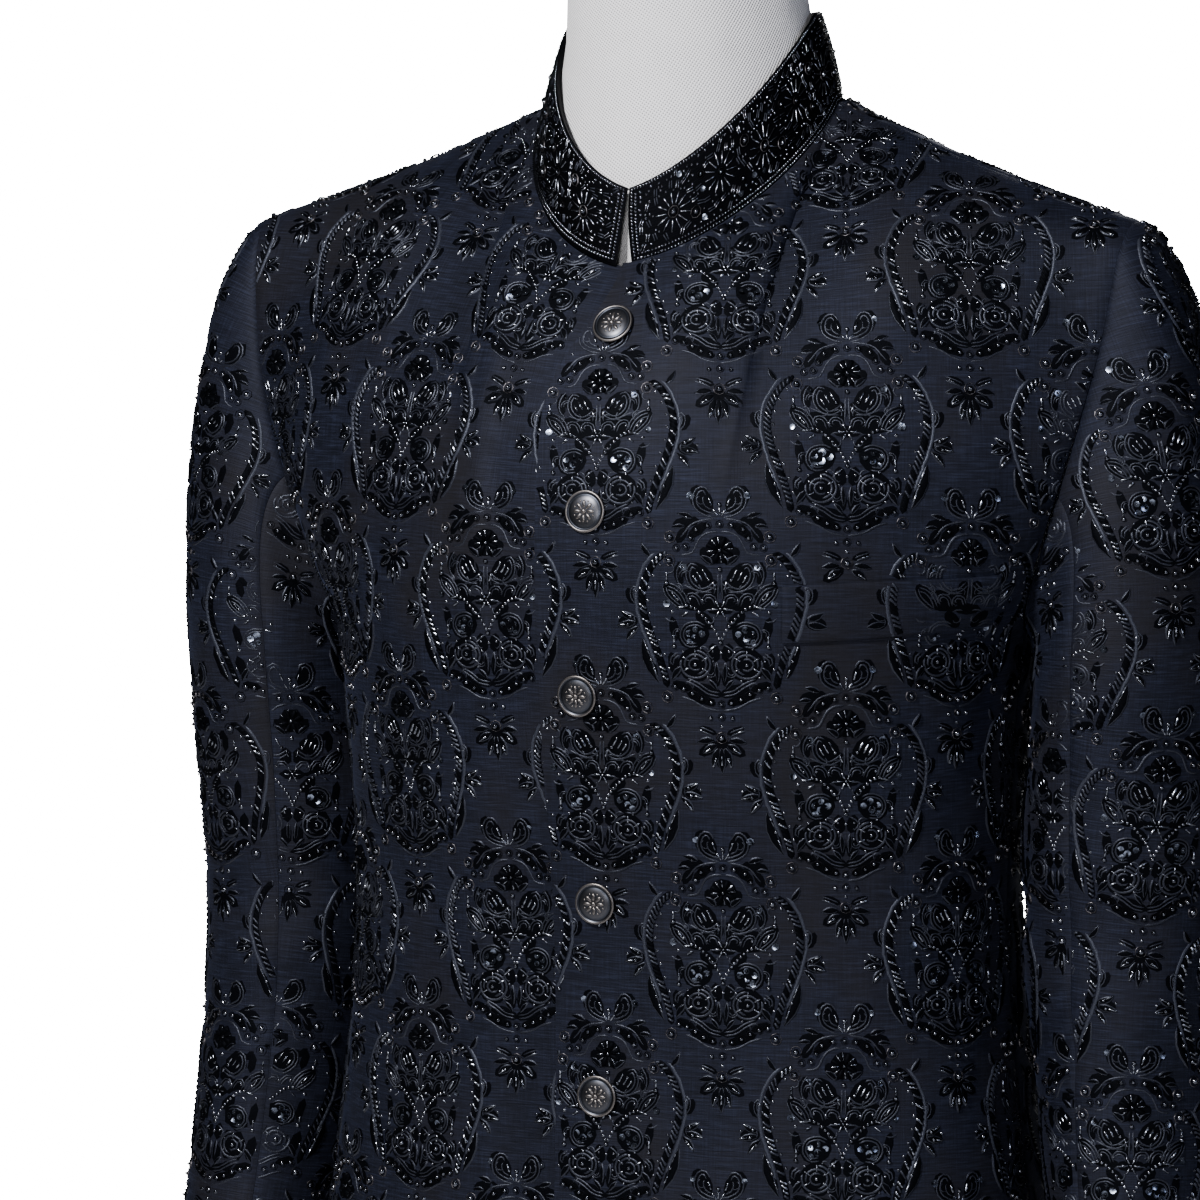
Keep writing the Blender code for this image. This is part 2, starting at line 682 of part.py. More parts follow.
def form_body():
    """The torso as one closed skin: coat sections and shoulders, moved inwards, with a neck."""
    foot = (FORM_FOOT_Z - HEM_Z) / (ARMPIT_Z - HEM_Z)
    levels = np.concatenate([np.linspace(foot, 1, 8), body_levels()[LOWER_ROWS:-1], [2.0]])
    both = np.concatenate([-body_shares()[:0:-1], body_shares()])
    body = bmesh.new()
    for half in (FRONT, BACK):
        rows = [coat_row(half, level, both) for level in levels]
        verts = [[body.verts.new(p) for p in row] for row in rows]
        for lower, upper in zip(verts, verts[1:]):
            for j in range(len(both) - 1):
                corners = [lower[j], lower[j + 1], upper[j + 1], upper[j]]
                body.faces.new(corners if half == FRONT else corners[::-1])
    bmesh.ops.remove_doubles(body, verts=body.verts, dist=MERGE)
    body.normal_update()
    moved = [(v, v.co - v.normal * form_inset(v.co)) for v in body.verts]
    for vert, place in moved:
        vert.co = place
    return body


def boundary_loops(body):
    """The open edges of a skin, as loops of vertices in order."""
    free = {e for e in body.edges if e.is_boundary}
    loops = []
    while free:
        edge = free.pop()
        first, here = edge.verts
        loop = [first, here]
        while here is not first:
            edge = next(e for e in here.link_edges if e in free)
            free.discard(edge)
            here = edge.other_vert(here)
            if here is not first:
                loop.append(here)
        loops.append(loop)
    return loops


def middle_of(loop):
    """The middle of a loop of vertices."""
    return sum((v.co for v in loop), Vector()) / len(loop)


def close_with_dome(body, loop, rings):
    """Closes a loop with shrinking rings: each is a share of its size and a move."""
    centre = middle_of(loop)
    start = [v.co.copy() for v in loop]
    last = loop
    for share, move in rings:
        ring = [body.verts.new(centre + (co - centre) * share + Vector(move)) for co in start]
        for j in range(len(loop)):
            k = (j + 1) % len(loop)
            body.faces.new([last[j], last[k], ring[k], ring[j]])
        last = ring
    body.faces.new(last)


def add_neck(body, loop):
    """Carries the neckline's loop up inside the collar into a round neck with a closed top."""
    turns = np.array([neck_turn(v.co) for v in loop])
    rings = [collar_row(up, turns, COLLAR_WALL + NECK_GAP) for up in (0.12, 0.5)]
    top_z = collar_row(1.0, turns)[:, 2]
    for z, radius in (
        (top_z, FORM_NECK_RADIUS),
        (FORM_NECK_TOP_Z - FORM_NECK_EDGE, FORM_NECK_RADIUS),
        (FORM_NECK_TOP_Z - 0.3 * FORM_NECK_EDGE, FORM_NECK_RADIUS - 0.3 * FORM_NECK_EDGE),
        (FORM_NECK_TOP_Z, FORM_NECK_RADIUS - FORM_NECK_EDGE),
    ):
        x, y = radius * np.sin(turns), FORM_NECK_Y - radius * np.cos(turns)
        rings.append(np.stack([x, y, z + 0 * turns], axis=1))
    last = loop
    for points in rings:
        ring = [body.verts.new(p) for p in points]
        for j in range(len(loop)):
            k = (j + 1) % len(loop)
            body.faces.new([last[j], last[k], ring[k], ring[j]])
        last = ring
    body.faces.new(last)


def neck_turn(point):
    """How far round the neck a point lies, from 0 in front to 2 pi, over the left shoulder."""
    depth = NECK_FRONT_DEPTH if point.y < NECK_CENTRE_Y else NECK_BACK_DEPTH
    turn = math.atan2(point.x / NECK_HALF_WIDTH, (NECK_CENTRE_Y - point.y) / depth)
    return turn % (2 * math.pi)


def form_torso(linen):
    """The limbless dress form, closed at the armholes, the neck and the foot."""
    body = form_body()
    for loop in boundary_loops(body):
        centre = middle_of(loop)
        if abs(centre.x) > 0.1:
            bulge = math.copysign(ARMHOLE_BULGE, centre.x)
            close_with_dome(body, loop, ((0.86, (bulge / 2, 0, 0)), (0.45, (bulge, 0, 0))))
        elif centre.z > NECK_POINT_Z - 0.1:
            add_neck(body, loop)
        else:
            drop = -FORM_FOOT_ROUND
            close_with_dome(body, loop, ((0.97, (0, 0, 0.55 * drop)), (0.86, (0, 0, drop))))
    bmesh.ops.recalc_face_normals(body, faces=body.faces)
    bmesh.ops.triangulate(body, faces=[f for f in body.faces if len(f.verts) > 4])
    mesh = bpy.data.meshes.new("form_torso")
    body.to_mesh(mesh)
    body.free()
    new_object("form_torso", mesh, linen)
    return min(v.co.z for v in mesh.vertices)


def stand(steel, foot):
    """The pole, up to the form's foot, and the round base plate."""
    low, high = BASE_HEIGHT + SEAM_GAP, foot - SEAM_GAP
    pole = ((0, low), (POLE_RADIUS, low), (POLE_RADIUS, high), (0, high))
    base = (
        (0, 0),
        (BASE_RADIUS - BASE_BEVEL, 0),
        (BASE_RADIUS, BASE_BEVEL),
        (BASE_RADIUS, BASE_HEIGHT - BASE_BEVEL),
        (BASE_RADIUS - BASE_BEVEL, BASE_HEIGHT),
        (0, BASE_HEIGHT),
    )
    new_object("stand_pole", turned_mesh("stand_pole", pole, 24), steel)
    new_object("stand_base", turned_mesh("stand_base", base, 48), steel)


def main():
    """Clears the scene and builds every piece."""
    for obj in list(bpy.data.objects):
        bpy.data.objects.remove(obj)
    silk = material("embroidered_silk", (0.012, 0.014, 0.022), 0.6)
    velvet = material("beaded_collar", (0.006, 0.006, 0.009), 0.5)
    metal = material("gunmetal", (0.16, 0.16, 0.18), 0.35, 1.0)
    linen = material("linen", (0.62, 0.61, 0.60), 0.9)
    steel = material("satin_steel", (0.45, 0.45, 0.46), 0.35, 1.0)
    body_panels(silk)
    sleeves(silk)
    collar(velvet)
    breast_welt(silk)
    buttons(metal)
    foot = form_torso(linen)
    stand(steel, foot)


main()
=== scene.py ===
"""Finishes for a sherwani coat worn by a limbless dress form on a round stand.

Frame: +Z up, origin on the floor under the middle of the base, the wearer faces -Y and the
wearer's left is +X.  Lengths are metres, and embroidery is drawn in millimetres on the flat cut.
"""

from __future__ import annotations

import logging
import math
from dataclasses import dataclass, field
from enum import Enum
from typing import Any, Callable, Iterable, Sequence

import bmesh
import bpy
import numpy as np
from mathutils import Matrix, Vector
from mathutils.bvhtree import BVHTree


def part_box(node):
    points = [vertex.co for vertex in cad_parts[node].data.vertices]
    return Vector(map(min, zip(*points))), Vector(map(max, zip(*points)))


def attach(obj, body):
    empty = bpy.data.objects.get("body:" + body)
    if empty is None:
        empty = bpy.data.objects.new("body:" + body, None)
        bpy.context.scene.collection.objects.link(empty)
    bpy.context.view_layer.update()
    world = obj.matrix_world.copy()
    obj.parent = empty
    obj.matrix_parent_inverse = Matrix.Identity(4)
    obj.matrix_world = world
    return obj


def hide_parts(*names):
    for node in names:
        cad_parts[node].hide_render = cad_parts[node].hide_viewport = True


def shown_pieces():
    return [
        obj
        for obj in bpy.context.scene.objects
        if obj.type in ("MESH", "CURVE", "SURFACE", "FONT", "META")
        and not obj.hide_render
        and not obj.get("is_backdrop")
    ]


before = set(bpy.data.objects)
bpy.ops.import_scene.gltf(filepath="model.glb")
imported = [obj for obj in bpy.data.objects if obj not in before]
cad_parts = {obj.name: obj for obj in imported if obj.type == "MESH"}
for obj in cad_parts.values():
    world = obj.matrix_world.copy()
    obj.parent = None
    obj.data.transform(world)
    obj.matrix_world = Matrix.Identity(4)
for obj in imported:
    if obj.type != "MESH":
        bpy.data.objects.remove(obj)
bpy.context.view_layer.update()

log = logging.getLogger("sherwani")
MM = 0.001
Array = np.ndarray
Table = tuple[tuple[float, ...], ...]
Knots = Sequence[tuple[float, float]]


# ---- curves ----
def hermite(start: Any, leave: Any, end: Any, arrive: Any, t: Any) -> Any:
    """A cubic from start to end, with the slopes leave and arrive there, at a share t of the way."""
    rise = 3 * t**2 - 2 * t**3
    return (1 - rise) * start + (t**3 - 2 * t**2 + t) * leave + rise * end + (t**3 - t**2) * arrive


def ease(x: Any) -> Any:
    """0 below 0, 1 above 1, and smooth between."""
    x = np.clip(x, 0.0, 1.0)
    return x * x * (3 - 2 * x)


def smooth_table(x: float, table: Table, column: int) -> float:
    """A column of a table along a smooth curve through its rows.

    Args:
        x: Where to read, in the units of the first column.
        table: Rows in rising order of their first column.
        column: Which column to read.

    Returns:
        The value at x.
    """
    xs = [row[0] for row in table]
    ys = [row[column] for row in table]
    slopes = np.gradient(ys, xs)
    k = int(np.clip(np.searchsorted(xs, x) - 1, 0, len(xs) - 2))
    span = xs[k + 1] - xs[k]
    return hermite(ys[k], slopes[k] * span, ys[k + 1], slopes[k + 1] * span, (x - xs[k]) / span)


def row_normals(rows: Array) -> Array:
    """Unit normals, outwards, of a grid (rows, columns, 3) whose rows run up and columns turn to +X."""
    normals = np.cross(np.gradient(rows, axis=1), np.gradient(rows, axis=0))
    return normals / np.linalg.norm(normals, axis=-1, keepdims=True)


def arc_lengths(points: Array) -> Array:
    """Lengths from the first point along a run of points."""
    return np.concatenate([[0.0], np.cumsum(np.linalg.norm(np.diff(points, axis=0), axis=-1))])


class Half(Enum):
    """Front or back of the coat, with the side of the body's axis that it lies on."""

    FRONT = -1
    BACK = 1


@dataclass(frozen=True)
class Fold:
    """A soft fold: where it lies, its width and height span, depth (+ is a ridge) and lean."""

    angle: float
    z: float
    width: float
    span: float
    depth: float
    lean: float = 0.0


@dataclass(frozen=True)
class CoatCut:
    """The coat's own sizes and the surfaces worked out from them.

    Sections go by height, half width, depth in front and behind, and squareness; armholes by share
    of the way up, x, y and depth below the neck point; sleeve sections by height, x, y, half width
    and half depth.
    """

    neck_z: float = 1.470
    hem_z: float = 0.420
    armpit_z: float = 1.208
    cuff_z: float = 0.812
    overlap: float = 0.024  # of either front past the centre line
    overlap_ease: float = 0.075  # height over which it grows below the neckline
    overlap_step: float = 0.0027  # how deep the right front lies under the left one
    tuck_end: float = 0.062
    tuck_ease: float = 0.016
    neck_half: float = 0.080
    neck_y: float = 0.008
    neck_front: float = 0.088
    neck_back: float = 0.058
    neck_drop: float = 0.080
    neck_rise: float = 0.001
    neck_vee: float = 0.07
    neck_share: float = 0.29  # the neck point's share of the way to the side
    neck_spread: float = 0.18  # share over which the neckline's shape is softened lower down
    neck_samples: int = 11
    sharp_from: float = 0.45  # share of the way up from which it sharpens again
    slope_step: float = 0.010
    chest_leave: float = 27
    # slopes at the top edge: inwards at the neckline, up on the seam by the neck point
    arrivals: dict[Half, tuple[float, float]] = field(
        default_factory=lambda: {Half.FRONT: (0.10, 0.24), Half.BACK: (0.14, -0.05)})
    neck_arrival: float = 0.12
    seam_arrival: float = 0.27
    armhole_from: float = 0.5  # share of a half from which it is drawn to the armhole
    shoulder: tuple[float, float, float] = (0.239, 0.006, 1.412)
    shoulder_sag: float = 0.003
    shoulder_seam: float = 0.0003
    sections: Table = (
        (0.420, 0.262, 0.172, 0.188, 2.15),
        (0.620, 0.232, 0.146, 0.168, 2.20),
        (0.800, 0.206, 0.124, 0.152, 2.30),
        (0.900, 0.191, 0.113, 0.144, 2.35),
        (0.975, 0.182, 0.109, 0.137, 2.35),
        (1.070, 0.176, 0.112, 0.128, 2.30),
        (1.150, 0.179, 0.125, 0.125, 2.28),
        (1.208, 0.184, 0.131, 0.122, 2.25),
    )
    armholes: dict[Half, Table] = field(default_factory=lambda: {
        Half.FRONT: (
            (0.00, 0.184, 0.000, 0.262), (0.14, 0.191, -0.021, 0.249),
            (0.30, 0.204, -0.033, 0.217), (0.50, 0.220, -0.036, 0.168),
            (0.70, 0.232, -0.030, 0.118), (0.86, 0.2375, -0.018, 0.0715),
            (0.95, 0.2390, -0.004, 0.0598), (1.00, 0.239, 0.006, 0.058),
        ),
        Half.BACK: (
            (0.00, 0.184, 0.000, 0.262), (0.14, 0.189, 0.025, 0.249),
            (0.30, 0.199, 0.043, 0.213), (0.50, 0.215, 0.050, 0.163),
            (0.70, 0.229, 0.044, 0.113), (0.86, 0.2370, 0.031, 0.0700),
            (0.95, 0.2388, 0.016, 0.0598), (1.00, 0.239, 0.006, 0.058),
        ),
    })
    sleeve_sections: Table = (
        (0.812, 0.2530, -0.008, 0.0420, 0.049),
        (0.930, 0.2410, 0.014, 0.0455, 0.055),
        (1.030, 0.2350, 0.025, 0.0480, 0.060),
        (1.110, 0.2355, 0.026, 0.0500, 0.064),
        (1.185, 0.2375, 0.022, 0.0515, 0.068),
    )
    # angles run round the coat from 0 at the centre front to 180 at the centre back
    body_folds: tuple[Fold, ...] = (
        Fold(62, 1.235, 11, 0.075, -0.0022),
        Fold(48, 1.130, 9, 0.070, -0.0014),
        Fold(104, 1.080, 12, 0.080, -0.0018),
        Fold(128, 1.190, 11, 0.090, -0.0020),
        Fold(34, 0.760, 9, 0.240, 0.0034),
        Fold(68, 0.640, 11, 0.230, 0.0042),
        Fold(108, 0.650, 12, 0.240, 0.0048),
        Fold(146, 0.690, 11, 0.260, 0.0044),
        # finer creases: drag lines at the armpit, hollows over the waist, a soft back
        Fold(73, 1.262, 4, 0.040, -0.0010, 90),
        Fold(80, 1.215, 4, 0.050, 0.0008, 110),
        Fold(70, 1.150, 5, 0.035, -0.0008, -160),
        Fold(40, 1.010, 7, 0.022, -0.0009, 300),
        Fold(84, 0.985, 9, 0.020, -0.0010, -350),
        Fold(112, 1.150, 5, 0.050, 0.0008, -120),
        Fold(120, 1.010, 9, 0.020, -0.0012, 320),
        Fold(158, 1.060, 8, 0.024, -0.0012, -280),
        Fold(164, 1.250, 5, 0.060, -0.0008, 60),
    )
    sleeve_tuck: float = 0.0012  # how far a sleeve's head reaches in past the armhole
    fold_fade: float = 0.25  # share of the sleeve's head over which its folds fade in
    # pulls with which the sleeve leaves the armhole: outside, inside, in front and behind
    sleeve_pulls: Table = ((0.098, 0, -0.030), (0.006, 0, -0.040), (0.055, -0.030, -0.030),
                           (0.050, 0.030, -0.030))
    # angles run round a sleeve: 0 on its inner side, 90 in front, 180 on its outer side
    sleeve_folds: tuple[Fold, ...] = (
        Fold(22, 1.068, 36, 0.075, 0.0082),
        Fold(22, 1.067, 36, 0.012, -0.0042),
        Fold(120, 1.290, 20, 0.075, -0.0026, 160),
        Fold(96, 1.060, 30, 0.020, -0.0030, 500),
        Fold(70, 1.000, 34, 0.018, -0.0026, -450),
        Fold(150, 1.140, 24, 0.050, 0.0018, 260),
        Fold(240, 1.050, 34, 0.024, -0.0030, -400),
        Fold(215, 1.200, 22, 0.070, -0.0022, -160),
        Fold(86, 1.235, 10, 0.045, -0.0011, 140),
        Fold(130, 0.985, 16, 0.012, -0.0011, 380),
        Fold(110, 0.930, 14, 0.020, 0.0009, 300),
        Fold(200, 1.010, 18, 0.014, -0.0011, -420),
        Fold(255, 1.240, 11, 0.045, -0.0010, -120),
        Fold(60, 1.110, 12, 0.030, 0.0010, -240),
    )

    def quarter(self, half: Half, z: float, steps: int = 96) -> tuple[Array, Array, Array]:
        """A quarter of the coat's level section, from the middle to the side.

        Args:
            half: Front or back.
            z: Height.
            steps: How many chords follow the curve.

        Returns:
            x, depth, and the length along the curve.
        """
        depth_column = 2 if half is Half.FRONT else 3
        width, depth, square = (smooth_table(z, self.sections, c) for c in (1, depth_column, 4))
        t = np.linspace(0, math.pi / 2, steps + 1)
        x = width * np.sin(t) ** (2 / square)
        y = depth * np.clip(np.cos(t), 0, 1) ** (2 / square)
        return x, y, arc_lengths(np.stack([x, y], axis=1))

    def level_row(self, half: Half, z: float, share: Array) -> Array:
        """Points at height z.

        Args:
            half: Front or back.
            z: Height.
            share: Signed shares of the way from the middle to the side.

        Returns:
            Points, (n, 3).
        """
        x, y, length = self.quarter(half, z)
        at = np.abs(share) * length[-1]
        along = np.sign(share) * np.interp(at, length, x)
        return np.stack([along, half.value * np.interp(at, length, y), 0 * at + z], axis=1)

    def neckline(self, turn: Array) -> Array:
        """The neckline of the left half.

        Args:
            turn: 0 at the centre front to pi at the centre back.

        Returns:
            Points, (..., 3).
        """
        cos, sin = np.cos(turn), np.sin(turn)
        depth = np.where(cos > 0, self.neck_front, self.neck_back)
        behind = np.clip(turn - math.pi / 2, 0, None)
        slope = self.neck_drop * (1 - 2 * self.neck_vee)
        rise = self.neck_rise * np.tanh(slope * behind / self.neck_rise)
        z = self.neck_z - self.neck_drop * np.clip(self.neck_fall(turn), 0, None) + rise
        return np.stack([self.neck_half * sin, self.neck_y - depth * cos, z], axis=-1)

    def neck_fall(self, turn: Array) -> Array:
        """How far the neckline falls from the neck point, 1 at the centre front, less than 0 behind."""
        return np.cos(turn) * (1 - 2 * self.neck_vee * np.abs(np.sin(turn)))

    def top_row(self, half: Half, share: Array) -> Array:
        """The neckline and shoulder seam, with the direction in which the cloth arrives.

        Args:
            half: Front or back.
            share: Signed shares of the way from the middle to the side.

        Returns:
            Points and arrivals, (2, n, 3).
        """
        out = np.abs(share)
        turn = np.arcsin(np.clip(out / self.neck_share, 0, 1))
        points = self.neckline(turn if half is Half.FRONT else math.pi - turn)
        middle = np.cos(turn)[:, None] ** 2
        along = np.maximum((out - self.neck_share) / (1 - self.neck_share), 0)[:, None]
        neck_point = self.neckline(np.array(math.pi / 2))
        seam = neck_point + (np.array(self.shoulder) - neck_point) * along
        seam[:, 2] -= self.shoulder_sag * np.sin(math.pi * along[:, 0])
        points = np.where(along > 0, seam, points)
        pull, ridge = self.arrivals[half]
        at_neck = np.array([0, -half.value * pull, self.neck_arrival])
        at_seam = np.array([0, -half.value * self.seam_arrival, 0])
        at_seam = at_seam + np.array([0, 0, ridge]) * (1 - along) ** 2
        arrive = at_seam + (at_neck - at_seam) * middle
        points[:, 0] *= np.where(share < 0, -1, 1)
        return np.array([points, arrive])

    def armhole(self, half: Half, up: float) -> Array:
        """The armhole's edge at a share of the way up from the armpit."""
        x, y, drop = (smooth_table(up, self.armholes[half], column) for column in (1, 2, 3))
        return np.array([x, y, self.neck_z - drop])

    def loft_row(self, half: Half, up: float, share: Array) -> Array:
        """Points above the armpit before they are drawn to the armhole.

        Args:
            half: Front or back.
            up: Share of the way up.
            share: Signed shares of the way from the middle to the side.

        Returns:
            Points, (n, 3).
        """
        weights = np.hanning(self.neck_samples)[1:-1]
        offsets = np.linspace(-self.neck_spread, self.neck_spread, len(weights))
        soft = sum(w * self.top_row(half, share + o) for w, o in zip(weights, offsets))
        soft = soft / weights.sum()
        sharp = self.top_row(half, share)
        end, arrive = soft + (sharp - soft) * ease((up - self.sharp_from) / (1 - self.sharp_from))
        start = self.level_row(half, self.armpit_z, share)
        below = self.level_row(half, self.armpit_z - self.slope_step, share)
        return hermite(start, (start - below) * self.chest_leave, end, arrive, up)

    def coat_row(self, half: Half, level: float, share: Array) -> Array:
        """A row of the coat.

        Args:
            half: Front or back.
            level: 0 at the hem, 1 at the armpit, 2 at the top.
            share: Signed shares of the way from the middle to the side.

        Returns:
            Points, (n, 3).
        """
        if level <= 1:
            return self.level_row(half, self.hem_z + (self.armpit_z - self.hem_z) * level, share)
        points = self.loft_row(half, level - 1, share)
        side = self.loft_row(half, level - 1, np.array([1.0]))[0]
        pull = self.armhole(half, level - 1) - side
        pull = pull * ease((np.abs(share)[:, None] - self.armhole_from) / (1 - self.armhole_from))
        pull[:, 0] *= np.where(share < 0, -1, 1)
        return points + pull

    def body_lift(self, points: Array) -> Array:
        """How far the body's folds lift the cloth.

        Args:
            points: Places on the coat, (..., 3).

        Returns:
            The lift in metres, - where it sinks.
        """
        angle = np.degrees(np.abs(np.arctan2(points[..., 0], -points[..., 1])))
        z = points[..., 2]
        depth = np.zeros(points.shape[:-1])
        for f in self.body_folds:
            away = ((angle - f.angle - f.lean * (z - f.z)) / f.width) ** 2
            depth += f.depth * np.exp(-away - ((z - f.z) / f.span) ** 2)
        return depth

    def front_edge(self, z: float) -> float:
        """How far the front edge lies past the centre line at height z."""
        return self.overlap * ease((self.neck_z - self.neck_drop - z) / self.overlap_ease)

    def sleeve_section(self, z: float, turn: Array) -> Array:
        """The left sleeve's level section.

        Args:
            z: Height.
            turn: 0 to 1, from its inner side round the front.

        Returns:
            Points, (..., 3).
        """
        x, y, width, depth = (smooth_table(z, self.sleeve_sections, c) for c in (1, 2, 3, 4))
        angle = 2 * math.pi * turn
        return np.stack([x - width * np.cos(angle), y - depth * np.sin(angle), 0 * angle + z], -1)

    def sleeve_row(self, down: float, turn: Array) -> Array:
        """A row of the left sleeve.

        Args:
            down: 0 at the armhole, 1 at the biceps, 2 at the cuff.
            turn: 0 under the arm, 0.25 in front, 0.5 outside, 0.75 behind.

        Returns:
            Points, (n, 3).
        """
        top = self.sleeve_sections[-1][0]
        angle = 2 * math.pi * turn
        fade = 1.0
        if down > 1:
            points = self.sleeve_section(top + (self.cuff_z - top) * (down - 1), turn)
        else:
            start = np.array([self.armhole_point(t) for t in turn])
            leave = self.sleeve_leave(angle)
            start = start - leave / np.linalg.norm(leave, axis=1)[:, None] * self.sleeve_tuck
            end = self.sleeve_section(top, turn)
            slope = (self.sleeve_section(top - self.slope_step, turn) - end) / self.slope_step
            points = hermite(start, leave, end, slope * (start[:, 2:] - top), down)
            fade = ease(down / self.fold_fade)
        lift = self.sleeve_lift(points[:, 2], np.degrees(angle)) * fade
        outward = np.stack([-np.cos(angle), -np.sin(angle), 0 * angle], axis=1)
        return points + outward * lift[:, None]

    def armhole_point(self, turn: float) -> Array:
        """The left armhole's edge.

        Args:
            turn: 0 under the arm, 0.25 in front, 0.5 on top, 0.75 behind.

        Returns:
            The point, (3,).
        """
        turn = turn % 1.0
        if turn <= 0.5:
            return self.armhole(Half.FRONT, 2 * turn)
        return self.armhole(Half.BACK, 2 * (1 - turn))

    def sleeve_leave(self, angle: Array) -> Array:
        """How the sleeve leaves the armhole.

        Args:
            angle: Round the sleeve, radians.

        Returns:
            Slopes, (n, 3).
        """
        cos, sin = np.cos(angle)[:, None], np.sin(angle)[:, None]
        shares = (-cos, cos, sin, -sin)
        return sum(np.maximum(0, k) * np.array(pull) for k, pull in zip(shares, self.sleeve_pulls))

    def sleeve_lift(self, z: Array, degrees: Array) -> Array:
        """How far the sleeve's folds lift the cloth.

        Args:
            z: Heights.
            degrees: Angles round the sleeve.

        Returns:
            The lift in metres, - where it sinks.
        """
        depth = 0 * degrees
        for f in self.sleeve_folds:
            away = (degrees - f.angle - f.lean * (z - f.z) + 180) % 360 - 180
            depth += f.depth * np.exp(-((away / f.width) ** 2) - ((z - f.z) / f.span) ** 2)
        return depth


# ---- meshes ----
def link_new(name: str, data: Any) -> bpy.types.Object:
    """Makes an object of some data, and links it to the scene.

    Args:
        name: The object's name.
        data: A mesh, light or camera.

    Returns:
        The object.
    """
    made = bpy.data.objects.new(name, data)
    bpy.context.scene.collection.objects.link(made)
    return made


def mesh_object(
    name: str,
    points: Array,
    faces: Array,
    finishes: Sequence[bpy.types.Material],
    uv: Array | None = None,
    slots: Array | None = None,
) -> bpy.types.Object:
    """Makes a smooth mesh object from arrays.

    Args:
        name: The piece's name.
        points: Corner places, (n, 3), metres.
        faces: Corner numbers, (m, 3) or (m, 4).
        finishes: Materials in slot order.
        uv: A place on the flat cut for each point, (n, 2), metres.
        slots: A material slot for each face.

    Returns:
        The new object, linked to the scene.
    """
    mesh = bpy.data.meshes.new(name)
    sides = faces.shape[1]
    corners = np.ascontiguousarray(faces.ravel(), dtype=np.int32)
    mesh.vertices.add(len(points))
    mesh.vertices.foreach_set("co", np.asarray(points, dtype=np.float32).ravel())
    mesh.loops.add(len(corners))
    mesh.loops.foreach_set("vertex_index", corners)
    mesh.polygons.add(len(faces))
    mesh.polygons.foreach_set("loop_start", np.arange(len(faces), dtype=np.int32) * sides)
    for finish in finishes:
        mesh.materials.append(finish)
    if slots is not None:
        mesh.polygons.foreach_set("material_index", np.asarray(slots, dtype=np.int32))
    mesh.update(calc_edges=True)
    if uv is not None:
        layer = mesh.uv_layers.new(name="flat_cut")
        layer.data.foreach_set("uv", np.asarray(uv, dtype=np.float32)[corners].ravel())
    mesh.validate()
    mesh.shade_smooth()
    return link_new(name, mesh)


def grid_faces(down: int, across: int, first: int = 0, closed: bool = False) -> Array:
    """Quads of a grid whose rows run up and whose columns run to the right seen from outside.

    Args:
        down, across: Numbers of rows and columns.
        first: Number of the grid's first corner.
        closed: Joins each row's end to its start.

    Returns:
        Corner numbers, (n, 4).
    """
    i, j = np.meshgrid(np.arange(down - 1), np.arange(across if closed else across - 1), indexing="ij")
    i, j = i.ravel(), j.ravel()
    k = (j + 1) % across
    return np.stack([i * across + j, i * across + k, (i + 1) * across + k, (i + 1) * across + j], 1) + first


def shell_faces(down: int, across: int) -> Array:
    """Quads of a shell whose outer grid comes first and its inner grid second, with its rim.

    Args:
        down, across: Numbers of rows and columns of either grid.

    Returns:
        Corner numbers, (n, 4).
    """
    count = down * across
    outer = grid_faces(down, across)
    inner = grid_faces(down, across, count)[:, ::-1]
    low, high = np.arange(across), np.arange(across) + (down - 1) * across
    left, right = np.arange(down) * across, np.arange(down) * across + across - 1
    rims = [
        np.stack([edge[:-1], edge[:-1] + count, edge[1:] + count, edge[1:]], axis=1)
        for edge in (low, right, high[::-1], left[::-1])
    ]
    return np.concatenate([outer, inner, *rims])


def select_only(*objects: bpy.types.Object) -> None:
    """Selects these objects alone, or none.

    Args:
        objects: What to select, the active one first.
    """
    bpy.ops.object.select_all(action="DESELECT")
    for obj in objects:
        obj.select_set(True)
    if objects:
        bpy.context.view_layer.objects.active = objects[0]


def bake_place(obj: bpy.types.Object) -> None:
    """Moves an object's place, turn and size into its mesh."""
    obj.data.transform(obj.matrix_basis)
    obj.matrix_basis = Matrix()


def keep_edges(obj: bpy.types.Object, degrees: float) -> None:
    """Smooths a mesh, but keeps an edge crisp where it turns by more than some degrees."""
    select_only(obj)
    bpy.ops.object.shade_smooth_by_angle(angle=math.radians(degrees))


def set_finish(obj: bpy.types.Object, finish: bpy.types.Material) -> None:
    """Gives a mesh one finish all over."""
    obj.data.materials.clear()
    obj.data.materials.append(finish)


# ---- finishes ----
def colour(code: str) -> tuple[float, float, float, float]:
    """A colour in linear light.

    Args:
        code: An sRGB hex code such as '#20222c'.

    Returns:
        Red, green, blue and alpha.
    """
    parts = [int(code[i:i + 2], 16) / 255 for i in (1, 3, 5)]
    linear = [c / 12.92 if c <= 0.04045 else ((c + 0.055) / 1.055) ** 2.4 for c in parts]
    return (*linear, 1.0)


def feed(tree: bpy.types.NodeTree, node: bpy.types.Node, values: dict[Any, Any]) -> None:
    """Feeds the inputs of a node.

    Args:
        tree: The tree.
        node: The node.
        values: For each input by name or number, its value or the output that feeds it.
    """
    for name, value in values.items():
        if isinstance(value, bpy.types.NodeSocket):
            tree.links.new(value, node.inputs[name])
        else:
            node.inputs[name].default_value = value


def add(
    tree: bpy.types.NodeTree, kind: str, values: dict[Any, Any] | None = None, **settings: Any
) -> bpy.types.Node:
    """Adds a node.

    Args:
        tree: The tree that it goes in.
        kind: The node's type, without its ShaderNode prefix.
        values: What goes into its inputs.
        settings: The node's own properties.

    Returns:
        The node.
    """
    node = tree.nodes.new("ShaderNode" + kind)
    for name, value in settings.items():
        setattr(node, name, value)
    feed(tree, node, values or {})
    return node


